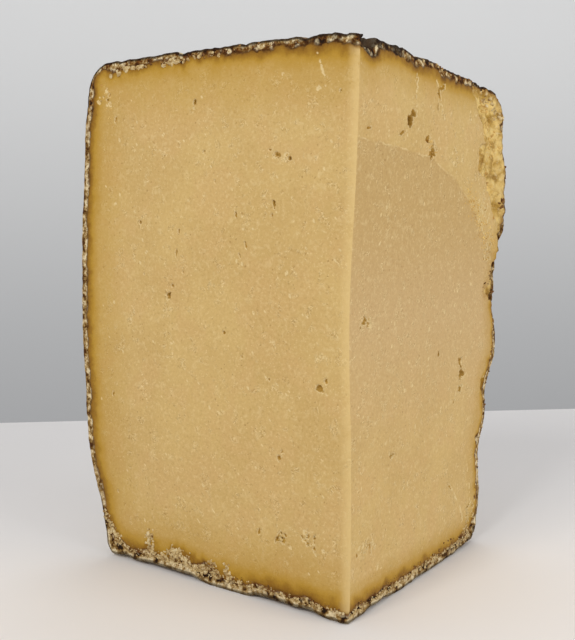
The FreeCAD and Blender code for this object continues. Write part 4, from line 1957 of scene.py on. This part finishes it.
CRUMB_FINISHES = (
    CrumbFinish(Crumb.CREAM, colour(224, 204, 158), colour(196, 168, 114), colour(132, 96, 48)),
    CrumbFinish(Crumb.BROWN, colour(158, 118, 60), colour(106, 66, 26), colour(56, 34, 12)),
    CrumbFinish(Crumb.PASTE, colour(234, 204, 130), colour(218, 180, 104), colour(180, 132, 62)),
)


# ---------------------------------------------------------------- camera, light and table


@dataclass(frozen=True)
class Studio:
    """A pale table and wall, soft light and the camera.

    Attributes:
        SHEETS: for each sheet its name, its corners, which way its colour runs, from where to where, and the
        colours at both ends; the run is painted falloff of light, darker at the table's back and the wall's
        foot.
        LAMPS: for each lamp its name, place, aim, side in metres, power in watts and colour.
        GLOW: how bright the white surroundings are.
        lens: the camera's lens in millimetres.
        eye: the camera's place from the foot of the arris, in metres.
        heading: the level direction it looks in.
        pitch: how far it looks down, in degrees.
        roll: how far it leans, in degrees.
    """

    # Painted shade: the table darkens towards the back and the wall towards its foot, standing for the falloff
    # of light on white sheets.
    SHEETS = (
        ("table", ((-1.6, -1.6, 0), (1.6, -1.6, 0), (-1.6, 0.446, 0), (1.6, 0.446, 0)), "Y", -500.0, 400.0,
         colour(243, 238, 234), colour(218, 216, 216)),
        ("wall", ((-4, 1.3, -1.5), (4, 1.3, -1.5), (-4, 1.3, 3), (4, 1.3, 3)), "Z", -250.0, 700.0,
         colour(184, 185, 187), colour(223, 224, 225)),
    )
    LAMPS = (
        ("window", (-1.2, -1.2, 1.5), (0, 0, 0.15), 0.7, 17.5, (1.0, 0.995, 0.98)),
        ("fill", (1.6, -1.3, 0.9), (0, 0, 0.15), 1.4, 16.0, (1.0, 0.995, 0.98)),
        ("back", (0.4, 1.1, 1.8), (0, 0.1, 0.2), 1.2, 8.0, (1.0, 1.0, 1.0)),
    )
    GLOW = 0.55

    lens: float = 51.0
    eye: tuple[float, float, float] = (-0.11367, -0.44950, 0.20839)
    heading: tuple[float, float] = (0.1747, 0.9846)
    pitch: float = 5.57
    roll: float = 0.64

    def camera(self, foot: Vector) -> None:
        """Adds the camera.

        Args:
            foot: the foot of the arris.
        """
        data = bpy.data.cameras.new("camera")
        data.lens = self.lens
        data.sensor_width = 36.0
        level = Vector((*self.heading, 0.0)).normalized()
        down = math.radians(self.pitch)
        ahead = level * math.cos(down) - Vector((0, 0, math.sin(down)))
        right = ahead.cross(Vector((0, 0, 1))).normalized()
        up = right.cross(ahead)
        lean = math.radians(self.roll)
        side = right * math.cos(lean) + up * math.sin(lean)
        top = up * math.cos(lean) - right * math.sin(lean)
        turn = Matrix((side, top, -ahead)).transposed()
        camera = add_object("camera", data)
        camera.matrix_world = Matrix.Translation(foot + Vector(self.eye)) @ turn.to_4x4()
        bpy.context.scene.camera = camera

    def lamp(self, name: str, place: tuple, aim: tuple, size: float, power: float, tint: tuple) -> None:
        """Adds a soft square lamp.

        Args:
            name: the lamp's name.
            place: where it hangs.
            aim: what it points at.
            size: its side.
            power: its power in watts.
            tint: its colour.
        """
        data = bpy.data.lights.new(name, "AREA")
        data.shape, data.size, data.energy, data.color = "SQUARE", size, power, tint
        turn = (Vector(aim) - Vector(place)).to_track_quat("-Z", "Y").to_matrix().to_4x4()
        add_object(name, data).matrix_world = Matrix.Translation(Vector(place)) @ turn

    def sheet(
        self, name: str, spots: Sequence[tuple], way: str, start: float, end: float, near: tuple, far: tuple
    ) -> None:
        """Adds a flat matt sheet between four corners, as part of the stage, with painted falloff of light
        along one axis.

        Args:
            name: the sheet's name.
            spots: its corners.
            way: the axis along which its colour runs.
            start: where the first colour is, in millimetres.
            end: where the second colour is.
            near: the first colour.
            far: the second colour.
        """
        bm = bmesh.new()
        bmesh.ops.create_grid(bm, x_segments=1, y_segments=1, size=1.0)
        ordered = sorted(bm.verts, key=lambda v: (v.co.y, v.co.x))
        for v, spot in zip(ordered, spots):
            v.co = spot
        sheet = add_mesh(bm, name)
        g = Graph(name)
        place = g.add("ShaderNodeSeparateXYZ", {}, {0: g.place}, way)
        g.dress(sheet, g.mix(g.between(place, start, end), near, far), 0.9, 0.1)

    def build(self, foot: Vector) -> None:
        """Sets the whole stage.

        Args:
            foot: the foot of the arris.
        """
        self.camera(foot)
        for row in self.SHEETS:
            self.sheet(*row)
        for row in self.LAMPS:
            self.lamp(*row)
        scene = bpy.context.scene
        scene.world = bpy.data.worlds.new("world")
        scene.world.use_nodes = True
        tint, strength = scene.world.node_tree.nodes["Background"].inputs[:2]
        tint.default_value, strength.default_value = (1.0, 1.0, 1.0, 1.0), self.GLOW
        bpy.context.scene.view_settings.view_transform = "Standard"


def main() -> None:
    """Builds the cheese and its stage, and reports each piece."""
    logging.basicConfig(level=logging.INFO, format="%(name)s %(message)s")
    wheel = Wheel(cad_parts[NODE])
    LOG.info("axis %s, height %.1f mm", tuple(round(c, 5) for c in wheel.axis), wheel.height)
    faces = {Side.LEFT: left_face(wheel), Side.RIGHT: right_face(wheel)}
    crust = Crust(wheel, faces)
    DryCrust().dress(crust.build())
    for face in faces.values():
        Paste().dress(CutFacePiece(face, crust).build())
    for finish in CRUMB_FINISHES:
        finish.dress(Crumbs(finish.kind, faces).build())
    Studio().build(wheel.axis)


if __name__ == "__main__":
    main()
